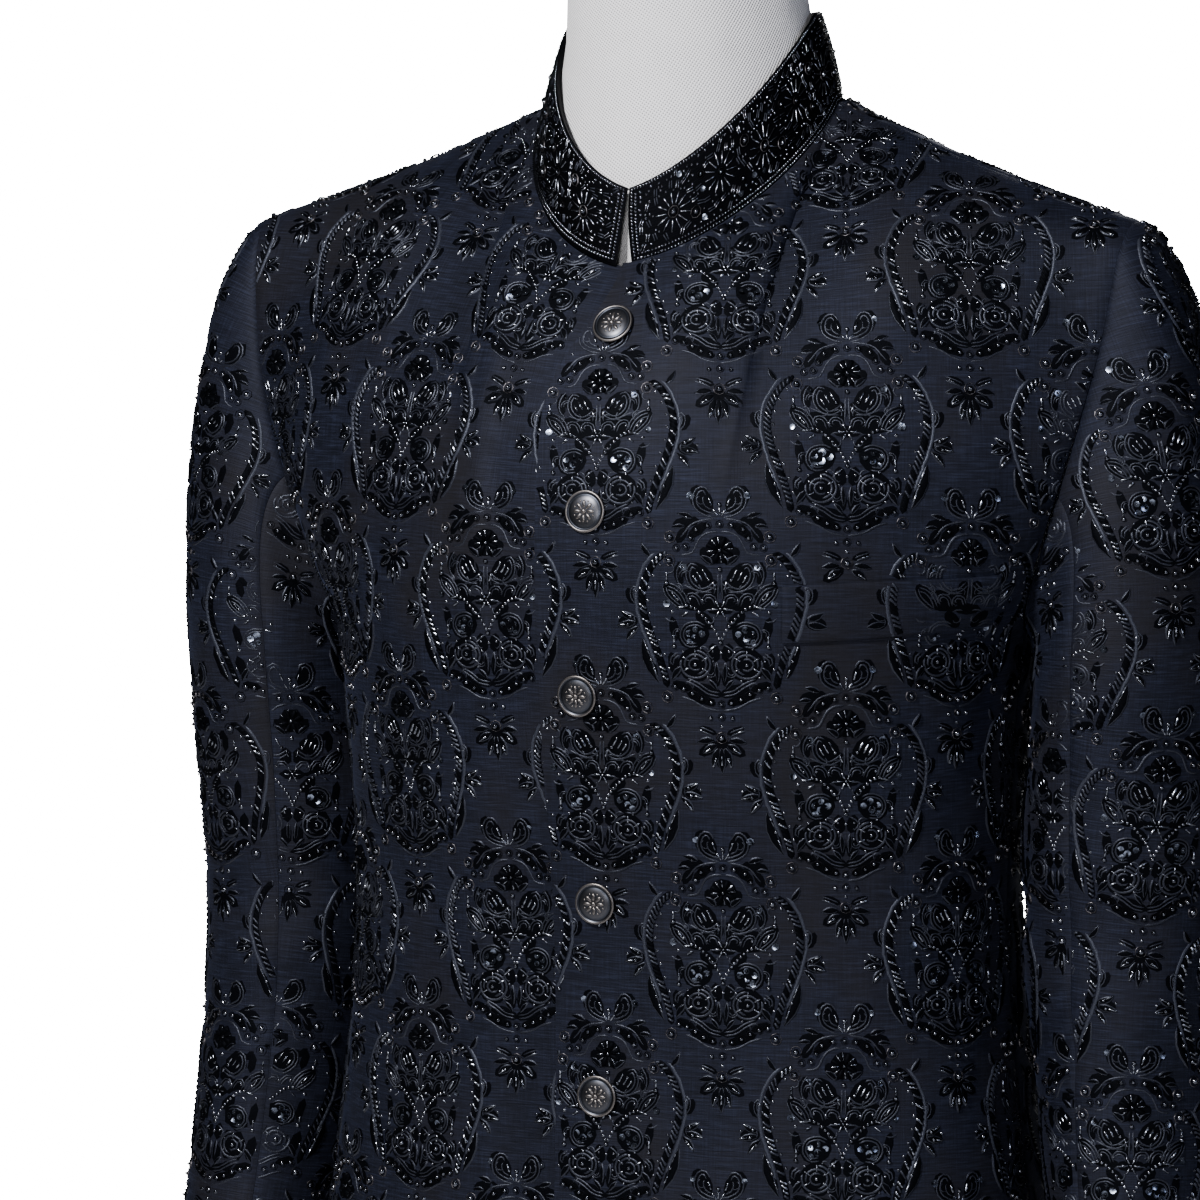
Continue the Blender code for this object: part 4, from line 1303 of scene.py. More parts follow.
@dataclass(frozen=True)
class Medallion:
    """An ogee medallion of cords, ropes, leaves, roses and beads, drawn in millimetres."""

    cords: tuple[Run, ...] = (
        # crown: two loops that open inwards
        Run(((1.0, 41.6), (6.0, 42.6), (11.4, 46.0), (12.8, 51.6), (10.2, 56.4), (6.0, 56.2), (4.4, 52.4)),
            (0.0, 1.9)),
        Run(((2.6, 45.6), (6.2, 46.8), (8.0, 50.4), (6.6, 53.0)), fine=True),
        # arch, above and below its chain
        Run(((0.0, 35.0), (5.0, 34.6), (9.0, 32.4), (11.2, 28.6), (13.6, 24.4), (19.8, 23.4))),
        Run(((2.0, 41.3), (8.4, 40.4), (13.6, 38.4), (17.2, 34.0), (20.0, 31.0))),
        # stem
        Run(((0.9, 14.6), (0.9, 8.0), (1.2, 1.0)), fine=True),
        # curled leaf
        Run(((0.6, 10.2), (4.7, 6.4), (10.0, 5.2), (15.3, 9.4), (16.4, 15.2), (13.6, 19.4), (9.8, 17.4)),
            (0.0, 1.8)),
        Run(((17.8, 21.0), (20.8, 16.0), (20.6, 10.4), (17.8, 7.4)), fine=True),
        # scrolls of the middle band
        Run(((0.8, -1.4), (3.0, 3.4), (7.4, 3.8), (8.8, 0.6), (6.4, -1.0)), (0.0, -1.5), 1.0),
        Run(((8.2, -2.0), (10.4, 3.4), (14.8, 4.8), (16.8, 1.4), (14.2, -0.8)), (0.0, -1.5), 1.0),
        Run(((16.0, -2.6), (18.4, 3.0), (22.2, 6.8), (26.8, 8.2)), (0.0, -1.7, 1.7), 1.0),
        Run(((18.0, -4.4), (22.6, -1.0), (26.6, 3.2), (28.2, 8.0)), (0.0, 1.6), 1.0),
        Run(((1.4, -4.2), (5.0, -3.2), (8.4, -4.6)), fine=True),
        Run(((2.6, 5.2), (8.4, 5.4), (13.4, 6.8), (18.2, 9.0)), fine=True),
        # loops round the sequins and below the strands
        Run(((6.6, -11.6), (11.8, -9.4), (18.0, -11.4), (19.8, -17.0), (16.2, -21.8), (10.4, -21.4)),
            (0.0, -1.6)),
        Run(((0.8, -20.6), (3.6, -21.8), (6.4, -24.4), (4.6, -27.6), (2.4, -26.2))),
        Run(((20.6, -8.6), (24.6, -9.6), (27.6, -7.0)), fine=True),
        # swags on either side of the lower chain
        Run(((0.0, -46.4), (6.4, -45.2), (12.0, -41.4), (18.2, -38.8)), (0.0, 1.7)),
        Run(((0.0, -53.6), (7.6, -52.2), (14.2, -48.6), (20.6, -46.6))),
        Run(((20.6, -24.6), (24.6, -27.4), (25.0, -32.0)), (0.0, -1.6), fine=True),
        # wings of the pendant
        Run(((2.8, -65.0), (6.6, -63.2), (12.0, -61.4)), (0.0, -1.7)),
        # hooked bud beside the rope
        Run(((41.0, -2.0), (44.2, 2.0), (44.0, 6.8), (41.2, 8.0), (40.8, 5.0)), (0.0, 1.5), 1.0),
    )
    leaves: tuple[tuple[float, ...], ...] = (
        # base, tip, width, bend
        (12.4, 41.4, 20.6, 43.8, 3.6, 0.6), (16.4, 37.4, 23.4, 37.0, 3.2, 0.5),
        (3.4, 18.6, 9.8, 23.4, 3.6, 0.8), (2.2, -29.0, 1.6, -40.0, 3.2, 0.0),
        (19.0, -31.6, 24.4, -39.0, 3.8, 0.8), (6.6, -37.8, 1.8, -43.6, 3.0, -0.5),
        (41.4, -8.0, 50.0, -4.4, 4.2, -0.8), (41.6, -10.2, 52.0, -12.0, 4.6, 0.0),
        (40.4, -12.0, 47.2, -20.0, 4.2, 0.8), (38.8, -18.0, 30.4, -41.0, 5.4, 1.6),
        (33.4, 22.4, 38.6, 30.0, 3.6, -0.7), (2.2, -70.4, 9.8, -75.2, 4.8, 0.4),
        (1.2, -71.6, 4.8, -82.4, 4.8, 0.3), (3.4, -68.2, 12.6, -69.4, 4.2, 0.4),
    )
    rope: Knots = ((25.4, 24.8), (31.2, 20.8), (36.2, 12.8), (38.6, 3.6), (37.8, -5.6), (34.8, -15.6),
                   (30.8, -26.4), (27.8, -36.6), (26.6, -43.0))
    arch: Knots = ((5.7, 38.0), (11.2, 36.0), (13.9, 31.8), (16.4, 27.6), (21.0, 27.0))
    chain: Knots = ((4.9, -49.4), (9.6, -47.6), (14.0, -45.0), (18.4, -42.8), (22.8, -41.8))
    large: Knots = ((24.0, 32.4), (24.6, 21.0), (26.8, -47.0))
    beads: tuple[tuple[float, ...], ...] = (
        # place and radius, on both sides
        (5.4, 11.4, 1.15), (8.6, 1.2, 0.9), (14.6, 1.8, 0.9), (20.8, 1.6, 1.0), (23.6, -4.6, 1.1),
        (23.0, -21.6, 1.3), (26.0, 9.8, 1.3), (5.4, -57.0, 1.2), (44.6, -7.2, 1.2), (46.0, -11.2, 1.2),
        (43.0, -14.6, 1.2), (34.6, -28.6, 1.2), (4.0, -24.0, 0.9), (15.8, 41.9, 0.9), (41.6, 5.4, 1.0),
        (6.0, -72.8, 1.0), (3.0, -77.6, 1.0), (50.6, -8.2, 0.9),
    )
    tubes: tuple[tuple[float, ...], ...] = (
        # place, lean and length, on both sides
        (19.4, -2.2, -10, 5.0), (23.0, -18.0, 90, 4.0), (26.0, 13.2, 90, 4.0), (7.2, 14.4, 62, 5.2),
        (9.8, 13.2, 60, 5.0), (12.0, 11.8, 58, 4.4), (22.4, 3.4, 58, 4.2), (47.4, -5.6, 24, 4.2),
        (49.4, -11.6, -8, 4.2), (45.0, -17.0, -50, 4.2), (36.4, -23.6, 66, 5.0), (32.6, -34.6, 66, 4.4),
        (7.6, -73.8, -34, 3.8), (3.8, -79.8, -70, 4.2), (9.0, -63.8, 22, 3.6), (2.6, 8.4, 70, 4.2),
        (17.2, -5.4, -34, 3.8), (4.4, 49.6, 70, 4.4),
    )
    sequins: Knots = ((12.2, -13.2), (15.8, -15.2), (12.6, -17.4), (8.8, -15.4), (15.4, -19.4),
                      (13.4, 52.6), (18.0, 17.6), (26.2, -0.4))
    strand: Knots = ((16.6, -1.4), (12.8, -2.6), (9.4, -5.6), (5.8, -9.4), (2.8, -13.4), (0.8, -17.6))
    rose: tuple[float, float] = (12.6, -30.6)
    arcs: tuple[tuple[float, ...], ...] = (
        # nested curls of fine cord: centre, outer radius, first angle, sweep and number of cords
        (8.8, 50.6, 2.6, 200, 250, 1), (16.8, 13.4, 3.4, -40, 200, 2), (4.4, 5.6, 2.4, 20, 220, 1),
        (11.6, 6.6, 2.6, 100, 210, 1), (20.4, 6.6, 3.0, 60, 220, 2), (24.6, 16.6, 2.6, 90, 230, 1),
        (5.4, -8.2, 2.6, 140, 230, 1), (20.8, -15.4, 3.0, -80, 210, 2), (8.4, -24.2, 2.8, 40, 230, 1),
        (22.6, -28.6, 2.8, -100, 220, 1), (5.2, -34.4, 3.0, 150, 230, 2), (15.6, -41.6, 2.4, 10, 220, 1),
        (5.6, 20.4, 2.2, 60, 220, 1), (45.0, -9.6, 3.0, 110, 220, 1),
    )
    shade_and_satin_grounds: tuple[tuple[float, ...], ...] = (
        # close black satin under the motifs, which also serves as painted shade among the dense stitches:
        # place, width, how much longer it is, and its lean
        (8.6, 50.4, 5.2, 1.5, 62), (16.0, 39.6, 2.8, 2.4, -8), (10.4, 12.8, 6.2, 1.35, 42),
        (12.6, 1.4, 5.6, 2.15, 6), (24.0, 5.0, 3.6, 1.5, 60), (20.0, 13.6, 2.4, 2.2, 80),
        (7.6, -8.6, 3.2, 1.8, 45), (13.2, -16.0, 6.8, 1.2, -30), (22.8, -13.0, 2.4, 2.6, 80),
        (12.6, -30.8, 8.8, 1.0, 0), (23.0, -31.0, 3.0, 2.2, 75), (7.0, -43.4, 3.0, 2.8, 18),
        (19.2, -41.4, 2.2, 2.4, 20), (35.0, -29.0, 2.0, 4.4, 70), (6.8, -63.4, 1.8, 2.6, 22),
        (10.6, 35.6, 2.6, 2.2, -38), (5.6, 23.0, 3.4, 1.5, 50), (3.4, 6.6, 3.4, 1.5, 90),
        (3.2, -24.6, 3.0, 1.6, 80), (3.0, -36.6, 3.0, 1.9, 90), (44.4, 3.0, 2.4, 1.8, 70),
        (46.0, -10.0, 3.4, 1.5, -10), (18.4, 17.6, 2.0, 1.6, 50), (10.0, -47.6, 2.6, 3.0, 20),
        (18.2, 33.4, 2.4, 2.0, -60), (6.4, -72.6, 3.0, 2.0, -32),
    )

    def draw(self, needle: Needle) -> Stitches:
        """Draws the whole medallion.

        Args:
            needle: What draws it, full or plainer.

        Returns:
            The stitches.
        """
        for side in (1.0, -1.0):
            self.half(needle, side)
        n = needle
        n.ringed(0, 38.6)
        n.ringed(0, -50.2)
        n.ringed(0, -56.6)
        n.ringed(0, -67.0, large=True)
        # black satin grounds, which also serve as painted shade inside the motif
        n.ground(0, 26.0, 7.0)
        n.ground(0, -3.0, 3.0, 2.4)
        n.ground(0, -74.6, 4.4, 1.8, 90)
        n.rays(0, 26.0, 8, 1.5, 6.8, 90, 360, Trim.SATIN, 1.3)
        n.rays(0, 26.0, 12 if n.full else 8, 2.2, 6.4, 82.5, 360)
        n.rays(0, -3.0, 6, 1.2, 4.6)
        n.rays(0, 41.5, 3, 1.5, 5.6, 90, 70)
        n.leaf((0, -71.4), (0, -85.6), 4.8)
        n.tube(0, -78.5, 90, 4.8, height=0.6)
        for x, y, radius in ((0, 26.0, 1.2), (0, 16.6, 1.3), (0, -3.0, 0.9), (0, 48.2, 1.2), (0, -19.6, 1.2),
                             (0, -24.6, 1.0), (0, -61.4, 1.0)):
            n.bead(x, y, radius)
        n.tube(-4.6, -22.8, 40, 4.4, height=0.4)
        return n.finished()

    def half(self, n: Needle, side: float) -> None:
        """Draws what lies on one side.

        Args:
            n: What draws it.
            side: 1 for the right, -1 for the mirrored left.
        """
        def line(knots: Knots) -> Array:
            """A smooth line on this side."""
            return smooth_line([(side * x, y) for x, y in knots], n.step)

        for x, y, width, longer, lean in self.shade_and_satin_grounds:
            n.ground(side * x, y, width, longer, lean * side)
        for run in self.cords:
            if n.full or not run.fine:
                path = line(run.knots)
                for beside in run.beside:
                    n.cord(path + side_steps(path) * beside * side, run.width)
        for x, y, radius, first, sweep, count in self.arcs if n.full else ():
            for k in range(int(count)):
                turn = np.radians(np.linspace(first, first + sweep, 7 - k))
                curl = (radius - 1.3 * k) * np.linspace(1.0, 0.7, len(turn))
                n.cord(np.stack([side * (x + curl * np.cos(turn)), y + curl * np.sin(turn)], 1), 0.9, 0.7)
        for x0, y0, x1, y1, width, bend in self.leaves:
            n.leaf((side * x0, y0), (side * x1, y1), width, bend * side)
        rope = line(self.rope)
        n.rope(rope)
        edge = rope[2:-5] + side_steps(rope)[2:-5] * 3.2 * side
        n.cord(edge + n.random.uniform(-0.3, 0.3, edge.shape), 1.8, 0.9, Trim.PALE)
        for x, y in (*self.arch, *self.chain):
            n.ringed(side * x, y)
        for x, y in self.large:
            n.ringed(side * x, y, large=True)
        for x, y, radius in self.beads:
            n.bead(side * x, y, radius)
        for x, y, lean, length in self.tubes:
            n.tube(side * x, y, lean * side, length, height=0.35)
        for x, y in self.sequins if n.full else self.sequins[:5]:
            n.sequin(side * x + n.random.uniform(-0.5, 0.5), y, n.random.uniform(1.5, 2.0))
        for x, y in smooth_line([(side * x, y) for x, y in self.strand], 2.3):
            n.seed_bead(x, y, 1.05)
        inside = side_steps(rope) * -3.0 * side
        for x, y in (rope + inside)[3:-3:3]:
            n.seed_bead(x, y, 0.9)
        self.rosebud(n, side)

    def rosebud(self, n: Needle, side: float) -> None:
        """A rose wound in cord, with tubes and seed beads for its petals.

        Args:
            n: What draws it.
            side: 1 for the right, -1 for the mirrored left.
        """
        x, y = side * self.rose[0], self.rose[1]
        for radius, count in ((7.4, 20), (5.4, 14), (3.2, 9)):
            turn = np.linspace(0.4, 5.6, count if n.full else count * 2 // 3) + radius
            winding = [x + side * radius * np.cos(turn), y + 0.92 * radius * np.sin(turn)]
            n.cord(np.stack(winding, axis=1), 1.5, 0.9)
        n.rays(x, y, 5, 3.6, 7.2, 90, 240)
        n.bead(x, y, 1.3)
        for k in range(6 if n.full else 0):
            c, s = turned_to(60 * k + 12)
            n.seed_bead(x + 8.9 * c, y + 8.4 * s, 0.8)


# ---- cloth ----
class ClothMap:
    """Finds the place on a shaped panel for each place on its flat cut."""

    def __init__(self, flat: Array, outer: Array, normals: Array) -> None:
        """Splits the panel's grid into triangles and sorts them for finding.

        Args:
            flat: Flat places, (rows, columns, 2), millimetres.
            outer: Places on the panel's face, (rows, columns, 3), metres.
            normals: Its outward normals.
        """
        quads = grid_faces(*flat.shape[:2])
        self.corners = np.concatenate([quads[:, [0, 1, 2]], quads[:, [0, 2, 3]]])
        self.flat = flat.reshape(-1, 2)
        self.outer = outer.reshape(-1, 3)
        self.normals = normals.reshape(-1, 3)
        places = np.column_stack([self.flat, np.zeros(len(self.flat))])
        self.tree = BVHTree.FromPolygons(places.tolist(), self.corners.tolist())

    def lay(self, places: Array) -> tuple[Array, Array]:
        """Lays places on the panel.

        Args:
            places: x, y and height above the cloth, (n, 3), millimetres.

        Returns:
            Points in metres, and whether each is on the panel.
        """
        nearest = self.tree.find_nearest
        found = [nearest((x, y, 0.0))[2:] for x, y in places[:, :2].tolist()]
        index = np.array([f[0] for f in found])
        inside = np.array([f[1] for f in found]) < 0.02
        a, b, c = (self.flat[self.corners[index, k]] for k in range(3))
        ab, ac, ap = b - a, c - a, places[:, :2] - a
        area = ab[:, 0] * ac[:, 1] - ab[:, 1] * ac[:, 0]
        v = (ap[:, 0] * ac[:, 1] - ap[:, 1] * ac[:, 0]) / area
        w = (ab[:, 0] * ap[:, 1] - ab[:, 1] * ap[:, 0]) / area
        weights = np.stack([1 - v - w, v, w], axis=1)[..., None]
        point = (self.outer[self.corners[index]] * weights).sum(axis=1)
        normal = (self.normals[self.corners[index]] * weights).sum(axis=1)
        normal /= np.linalg.norm(normal, axis=1, keepdims=True)
        return point + normal * places[:, 2:] * MM, inside


def unroll(rows: Array, guess: Array, rounds: int = 500) -> Array:
    """Unrolls a grid of points to its flat cut by letting its threads relax to true length.

    Args:
        rows: Points of the shaped panel, (rows, columns, 3), metres.
        guess: A first flat place for each, (rows, columns, 2).
        rounds: How often the threads are eased.

    Returns:
        Flat places, (rows, columns, 2), metres.
    """
    flat = guess.copy()
    every, head, tail = slice(None), slice(None, -1), slice(1, None)
    threads = [((every, head), (every, tail)), ((head, every), (tail, every)),
               ((head, head), (tail, tail)), ((head, tail), (tail, head))]
    lengths = [np.linalg.norm(rows[b] - rows[a], axis=-1) for a, b in threads]
    count = np.zeros(flat.shape[:2])
    for a, b in threads:
        count[a] += 1
        count[b] += 1
    for _ in range(rounds):
        move = np.zeros_like(flat)
        for (a, b), length in zip(threads, lengths):
            gap = flat[b] - flat[a]
            now = np.linalg.norm(gap, axis=-1)
            pull = gap * (0.5 * (1 - length / now))[..., None]
            move[a] += pull
            move[b] -= pull
        flat += 1.7 * move / count[..., None]
    return flat


@dataclass
class ClothPanel:
    """One cut piece of cloth: its shaped grid, its flat cut and its wall."""

    name: str
    node: str
    rows: Array  # outer face, (rows, columns, 3), columns to the right seen from outside
    flat: Array  # the same grid on the flat cut, metres, the wearer's up is +y
    wall: float = 0.002

    def __post_init__(self) -> None:
        """Works out the normals and the map from the flat cut."""
        self.normals = row_normals(self.rows)
        self.cloth_map = ClothMap(self.flat / MM, self.rows, self.normals)

    def build(self, finish: bpy.types.Material, slot: str, rests_on: Sequence[str],
              held: str = "draped") -> None:
        """Makes the panel.

        Args:
            finish: Its cloth.
            slot: The record's slot for it; not used.
            rests_on: What it rests on; not used.
            held: How the sheet is held; not used.
        """
        inner = self.rows - self.normals * self.wall
        points = np.concatenate([self.rows.reshape(-1, 3), inner.reshape(-1, 3)])
        uv = np.tile(self.flat.reshape(-1, 2), (2, 1))
        made = mesh_object(self.name, points, shell_faces(*self.rows.shape[:2]), [finish], uv)
        keep_edges(made, 50)
        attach(made, "root")
        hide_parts(self.node)


@dataclass
class CoatCutter:
    """Cuts the coat's panels: fine grids with sewn edges, and their flat cuts."""

    cut: CoatCut
    lower_rows: int = 56
    upper_rows: int = 46
    last_rows: tuple[float, float] = (0.012, 0.005)  # levels below the top edge of the rows next to it
    columns: int = 46
    neck_columns: int = 17  # of these, up to the neck point's
    gather: float = 0.5  # levels over which they gather towards the neck point
    edge_share: float = 0.35  # of a seam's width, where the column next to an edge lies
    fold_starts: tuple[float, float, float] = (0.06, 0.1, 0.3)  # folds fade in: middle, side and top
    seam_gap: float = 0.00008  # from a panel's edge to the seam
    seam_width: float = 0.0024
    seam_depth: float = 0.0007
    head_tuck: float = 0.0007
    collar_cover: float = 0.012  # width over which the shoulder seam fades out under the collar
    sleeve_rows: int = 40
    head_rows: int = 28
    head_starts: tuple[float, float] = (0.03, 0.012)  # shares of the head of the rows next to its edge
    # first and last turn round the sleeve, and the columns between
    sleeve_parts: dict[str, tuple[float, float, int]] = field(
        default_factory=lambda: {"top": (0.20, 0.80, 40), "under": (-0.20, 0.20, 26)})
    sleeve_edge: float = 0.0075  # turns from a sleeve's seam to the first even column
    sleeve_gap: float = 0.0003  # turns from a panel's edge to the seam
    rough_grid: tuple[int, int] = (30, 15)
    rough_rounds: int = 500
    fine_rounds: int = 260

    def levels(self) -> Array:
        """Rows from the hem to the top edge, closer where they meet a seam.

        Returns:
            Levels, 0 at the hem, 1 at the armpit and 2 at the top.
        """
        top = 2 - self.cut.shoulder_seam
        upper = np.linspace(1, top - self.last_rows[0], self.upper_rows)[1:]
        return np.concatenate([np.linspace(0, 1, self.lower_rows), upper, [top - self.last_rows[1], top]])

    def stations(self, first: float, neck: float, last: float, level: float) -> Array:
        """Distances across a panel, closer at both edges and, higher up, at the neck point.

        Args:
            first, last: The edges.
            neck: Where the neck point's column lies.
            level: The row's level.

        Returns:
            Rising distances.
        """
        band = self.seam_width
        under = np.linspace(0, 1, self.neck_columns)
        under += (np.sin(under * math.pi / 2) - under) * ease((level - 1) / self.gather)
        beyond = np.linspace(neck, last - band, self.columns - self.neck_columns + 1)[1:]
        near = np.array([0.0, self.edge_share * band])
        low = first + band
        return np.concatenate([first + near, low + (neck - low) * under, beyond, last - near[::-1]])

    def body_grid(self, half: Half, levels: Array, first: Callable[[float], float]) -> Array:
        """The wearer's left panel of a half, folds not yet pressed in.

        Args:
            half: Front or back.
            levels: Its rows.
            first: Signed distance of its inner edge from the middle at a height.

        Returns:
            Points, (rows, columns, 3), columns from the middle to the side.
        """
        rows = []
        for level in levels:
            z = self.cut.coat_row(half, level, np.array([0.0]))[0, 2]
            length = self.cut.quarter(half, min(z, self.cut.armpit_z))[2][-1]
            at = self.stations(first(z), self.cut.neck_share * length, length - self.seam_gap, level)
            rows.append(self.cut.coat_row(half, level, at / length))
        return np.array(rows)

    def press_folds(self, rows: Array, levels: Array, outward: int) -> Array:
        """Presses the folds into a body panel, fading towards its edges.

        Args:
            rows: Its points.
            levels: Its rows' levels.
            outward: 1 where the grid's normals point out, -1 where they point in.

        Returns:
            The pressed points.
        """
        share = np.linspace(0, 1, rows.shape[1])
        middle, side, top = self.fold_starts
        fade = ease(share / middle) * ease((1 - share) / side)
        up = np.minimum(1, (2 - levels) / top)[:, None]
        lift = self.cut.body_lift(rows) * fade * up
        return rows + outward * row_normals(rows) * lift[..., None]

    def sew(self, rows: Array, sides: Iterable[str], neck: bool = False, tuck: float = 0.0) -> Array:
        """Draws a panel's sewn edges in, as a seam does.

        Args:
            rows: Points of a grid that faces out.
            sides: Which of left, right, top and bottom are sewn.
            neck: Whether the top edge runs into a neckline, which the collar covers.
            tuck: How much deeper the top edge lies, where it is tucked under other panels.

        Returns:
            The points with their seams drawn in.
        """
        normals = row_normals(rows)
        along = {
            "left": np.array([arc_lengths(row) for row in rows]),
            "right": np.array([arc_lengths(row[::-1])[::-1] for row in rows]),
            "bottom": np.array([arc_lengths(col) for col in rows.transpose(1, 0, 2)]).T,
            "top": np.array([arc_lengths(col[::-1])[::-1] for col in rows.transpose(1, 0, 2)]).T,
        }
        dip = np.zeros(rows.shape[:2])
        for side in sides:
            part = self.seam_depth * (1 - ease(along[side] / self.seam_width))
            if side == "top":
                part *= 1 + tuck / self.seam_depth
            if side == "top" and neck:
                part *= ease((np.abs(rows[-1, :, 0]) - self.cut.neck_half) / self.collar_cover)
            dip = np.maximum(dip, part)
        return rows - normals * dip[..., None]

    def flatten(self, rows: Array, level: int, centre: int, starts: Array | None = None) -> Array:
        """The flat cut of a grid, upright below its level row.

        Args:
            rows: Points of a grid that faces out.
            level: The row where the flat cut's origin lies.
            centre: The column where it lies.
            starts: Where each row's first column lies in the flat cut, if it is known.

        Returns:
            Flat places, (rows, columns, 2), metres.
        """
        x = np.array([arc_lengths(row) for row in rows])
        x += (starts if starts is not None else -x[:, centre])[:, None]
        y = np.array([arc_lengths(column) for column in rows.transpose(1, 0, 2)]).T
        guess = np.stack([x, y - y[level]], axis=-1)
        down, across = rows.shape[:2]
        i = np.unique(np.append(np.linspace(0, down - 1, self.rough_grid[0]).round().astype(int), level))
        j = np.unique(np.linspace(0, across - 1, self.rough_grid[1]).round().astype(int))
        rough = guess[np.ix_(i, j)]
        change = unroll(rows[np.ix_(i, j)], rough, self.rough_rounds) - rough
        tall = [[np.interp(np.arange(down), i, column) for column in change[..., k].T] for k in (0, 1)]
        wide = [[np.interp(np.arange(across), j, row) for row in np.transpose(part)] for part in tall]
        flat = unroll(rows, guess + np.stack(wide, axis=-1), self.fine_rounds)
        spine = flat[:, centre]
        lean = spine[level] - spine[0]
        angle = math.atan2(lean[0], lean[1])
        c, s = math.cos(angle), math.sin(angle)
        return (flat - spine[level]) @ np.array([[c, s], [-s, c]])

    def mirror(self, panel: ClothPanel, name: str, node: str) -> ClothPanel:
        """The same panel on the wearer's other side."""
        rows = panel.rows[:, ::-1] * (-1, 1, 1)
        return ClothPanel(name, node, rows, panel.flat[:, ::-1] * (-1, 1), panel.wall)

    def fronts(self) -> list[ClothPanel]:
        """The two fronts; the right one dips under the left at the closure.

        Returns:
            The left one and the right one.
        """
        levels = self.levels()
        grid = self.body_grid(Half.FRONT, levels, lambda z: -self.cut.front_edge(z))
        grid = self.press_folds(grid, levels, 1)
        depth = ease((self.cut.tuck_end - grid[..., 0]) / self.cut.tuck_ease) * self.cut.overlap_step
        tucked = grid - row_normals(grid) * depth[..., None]
        left = self.sew(grid, ("right", "top"), neck=True)
        right = self.sew(tucked, ("right", "top"), neck=True)
        # the centre front is the flat cut's upright line
        starts = np.array([-self.cut.front_edge(z) for z in grid[:, 0, 2]])
        flat = self.flatten(left, self.lower_rows - 1, 0, starts)
        flat[..., 0] -= self.cut.overlap
        panel = ClothPanel("cloth_front_left", "front_left", left, flat)
        other = ClothPanel("cloth_front_right", "front_right", right, flat)
        return [panel, self.mirror(other, "cloth_front_right", "front_right")]

    def backs(self) -> list[ClothPanel]:
        """The two backs, seamed down the middle.

        Returns:
            The left one and the right one.
        """
        levels = self.levels()
        grid = self.body_grid(Half.BACK, levels, lambda z: self.seam_gap)
        grid = self.press_folds(grid, levels, -1)[:, ::-1]
        left = self.sew(grid, ("left", "right", "top"), neck=True)
        panel = ClothPanel("cloth_back_left", "back_left", left, self.flatten(left, self.lower_rows - 1, -1))
        return [panel, self.mirror(panel, "cloth_back_right", "back_right")]

    def sleeves(self) -> list[ClothPanel]:
        """The four sleeve pieces.

        Returns:
            Left and right top pieces, then the under ones.
        """
        made = []
        head = np.linspace(1, self.head_starts[0], self.head_rows)[1:]
        downs = np.concatenate([np.linspace(2, 1, self.sleeve_rows), head, [self.head_starts[1], 0.0]])
        edge, near = self.sleeve_edge, self.edge_share * self.sleeve_edge
        for part, (first, last, columns) in self.sleeve_parts.items():
            inner = np.linspace(first + edge, last - edge, columns)
            turns = np.concatenate([[first + self.sleeve_gap, first + near], inner,
                                    [last - near, last - self.sleeve_gap]])
            rows = np.array([self.cut.sleeve_row(down, turns) for down in downs])
            rows = self.sew(rows, ("left", "right", "top"), tuck=self.head_tuck)
            flat = self.flatten(rows, self.sleeve_rows - 1, rows.shape[1] // 2)
            panel = ClothPanel(f"cloth_sleeve_left_{part}", f"sleeve_left_{part}", rows, flat)
            made.append(panel)
            made.append(self.mirror(panel, f"cloth_sleeve_right_{part}", f"sleeve_right_{part}"))
        return made


# ---- all-over embroidery ----
@dataclass(frozen=True)
class Layout:
    """Where the medallions lie on one panel's flat cut, in a half-drop repeat, millimetres."""

    column_x: float  # a column on the main level
    row_y: float  # a medallion of that column
    full: bool = True


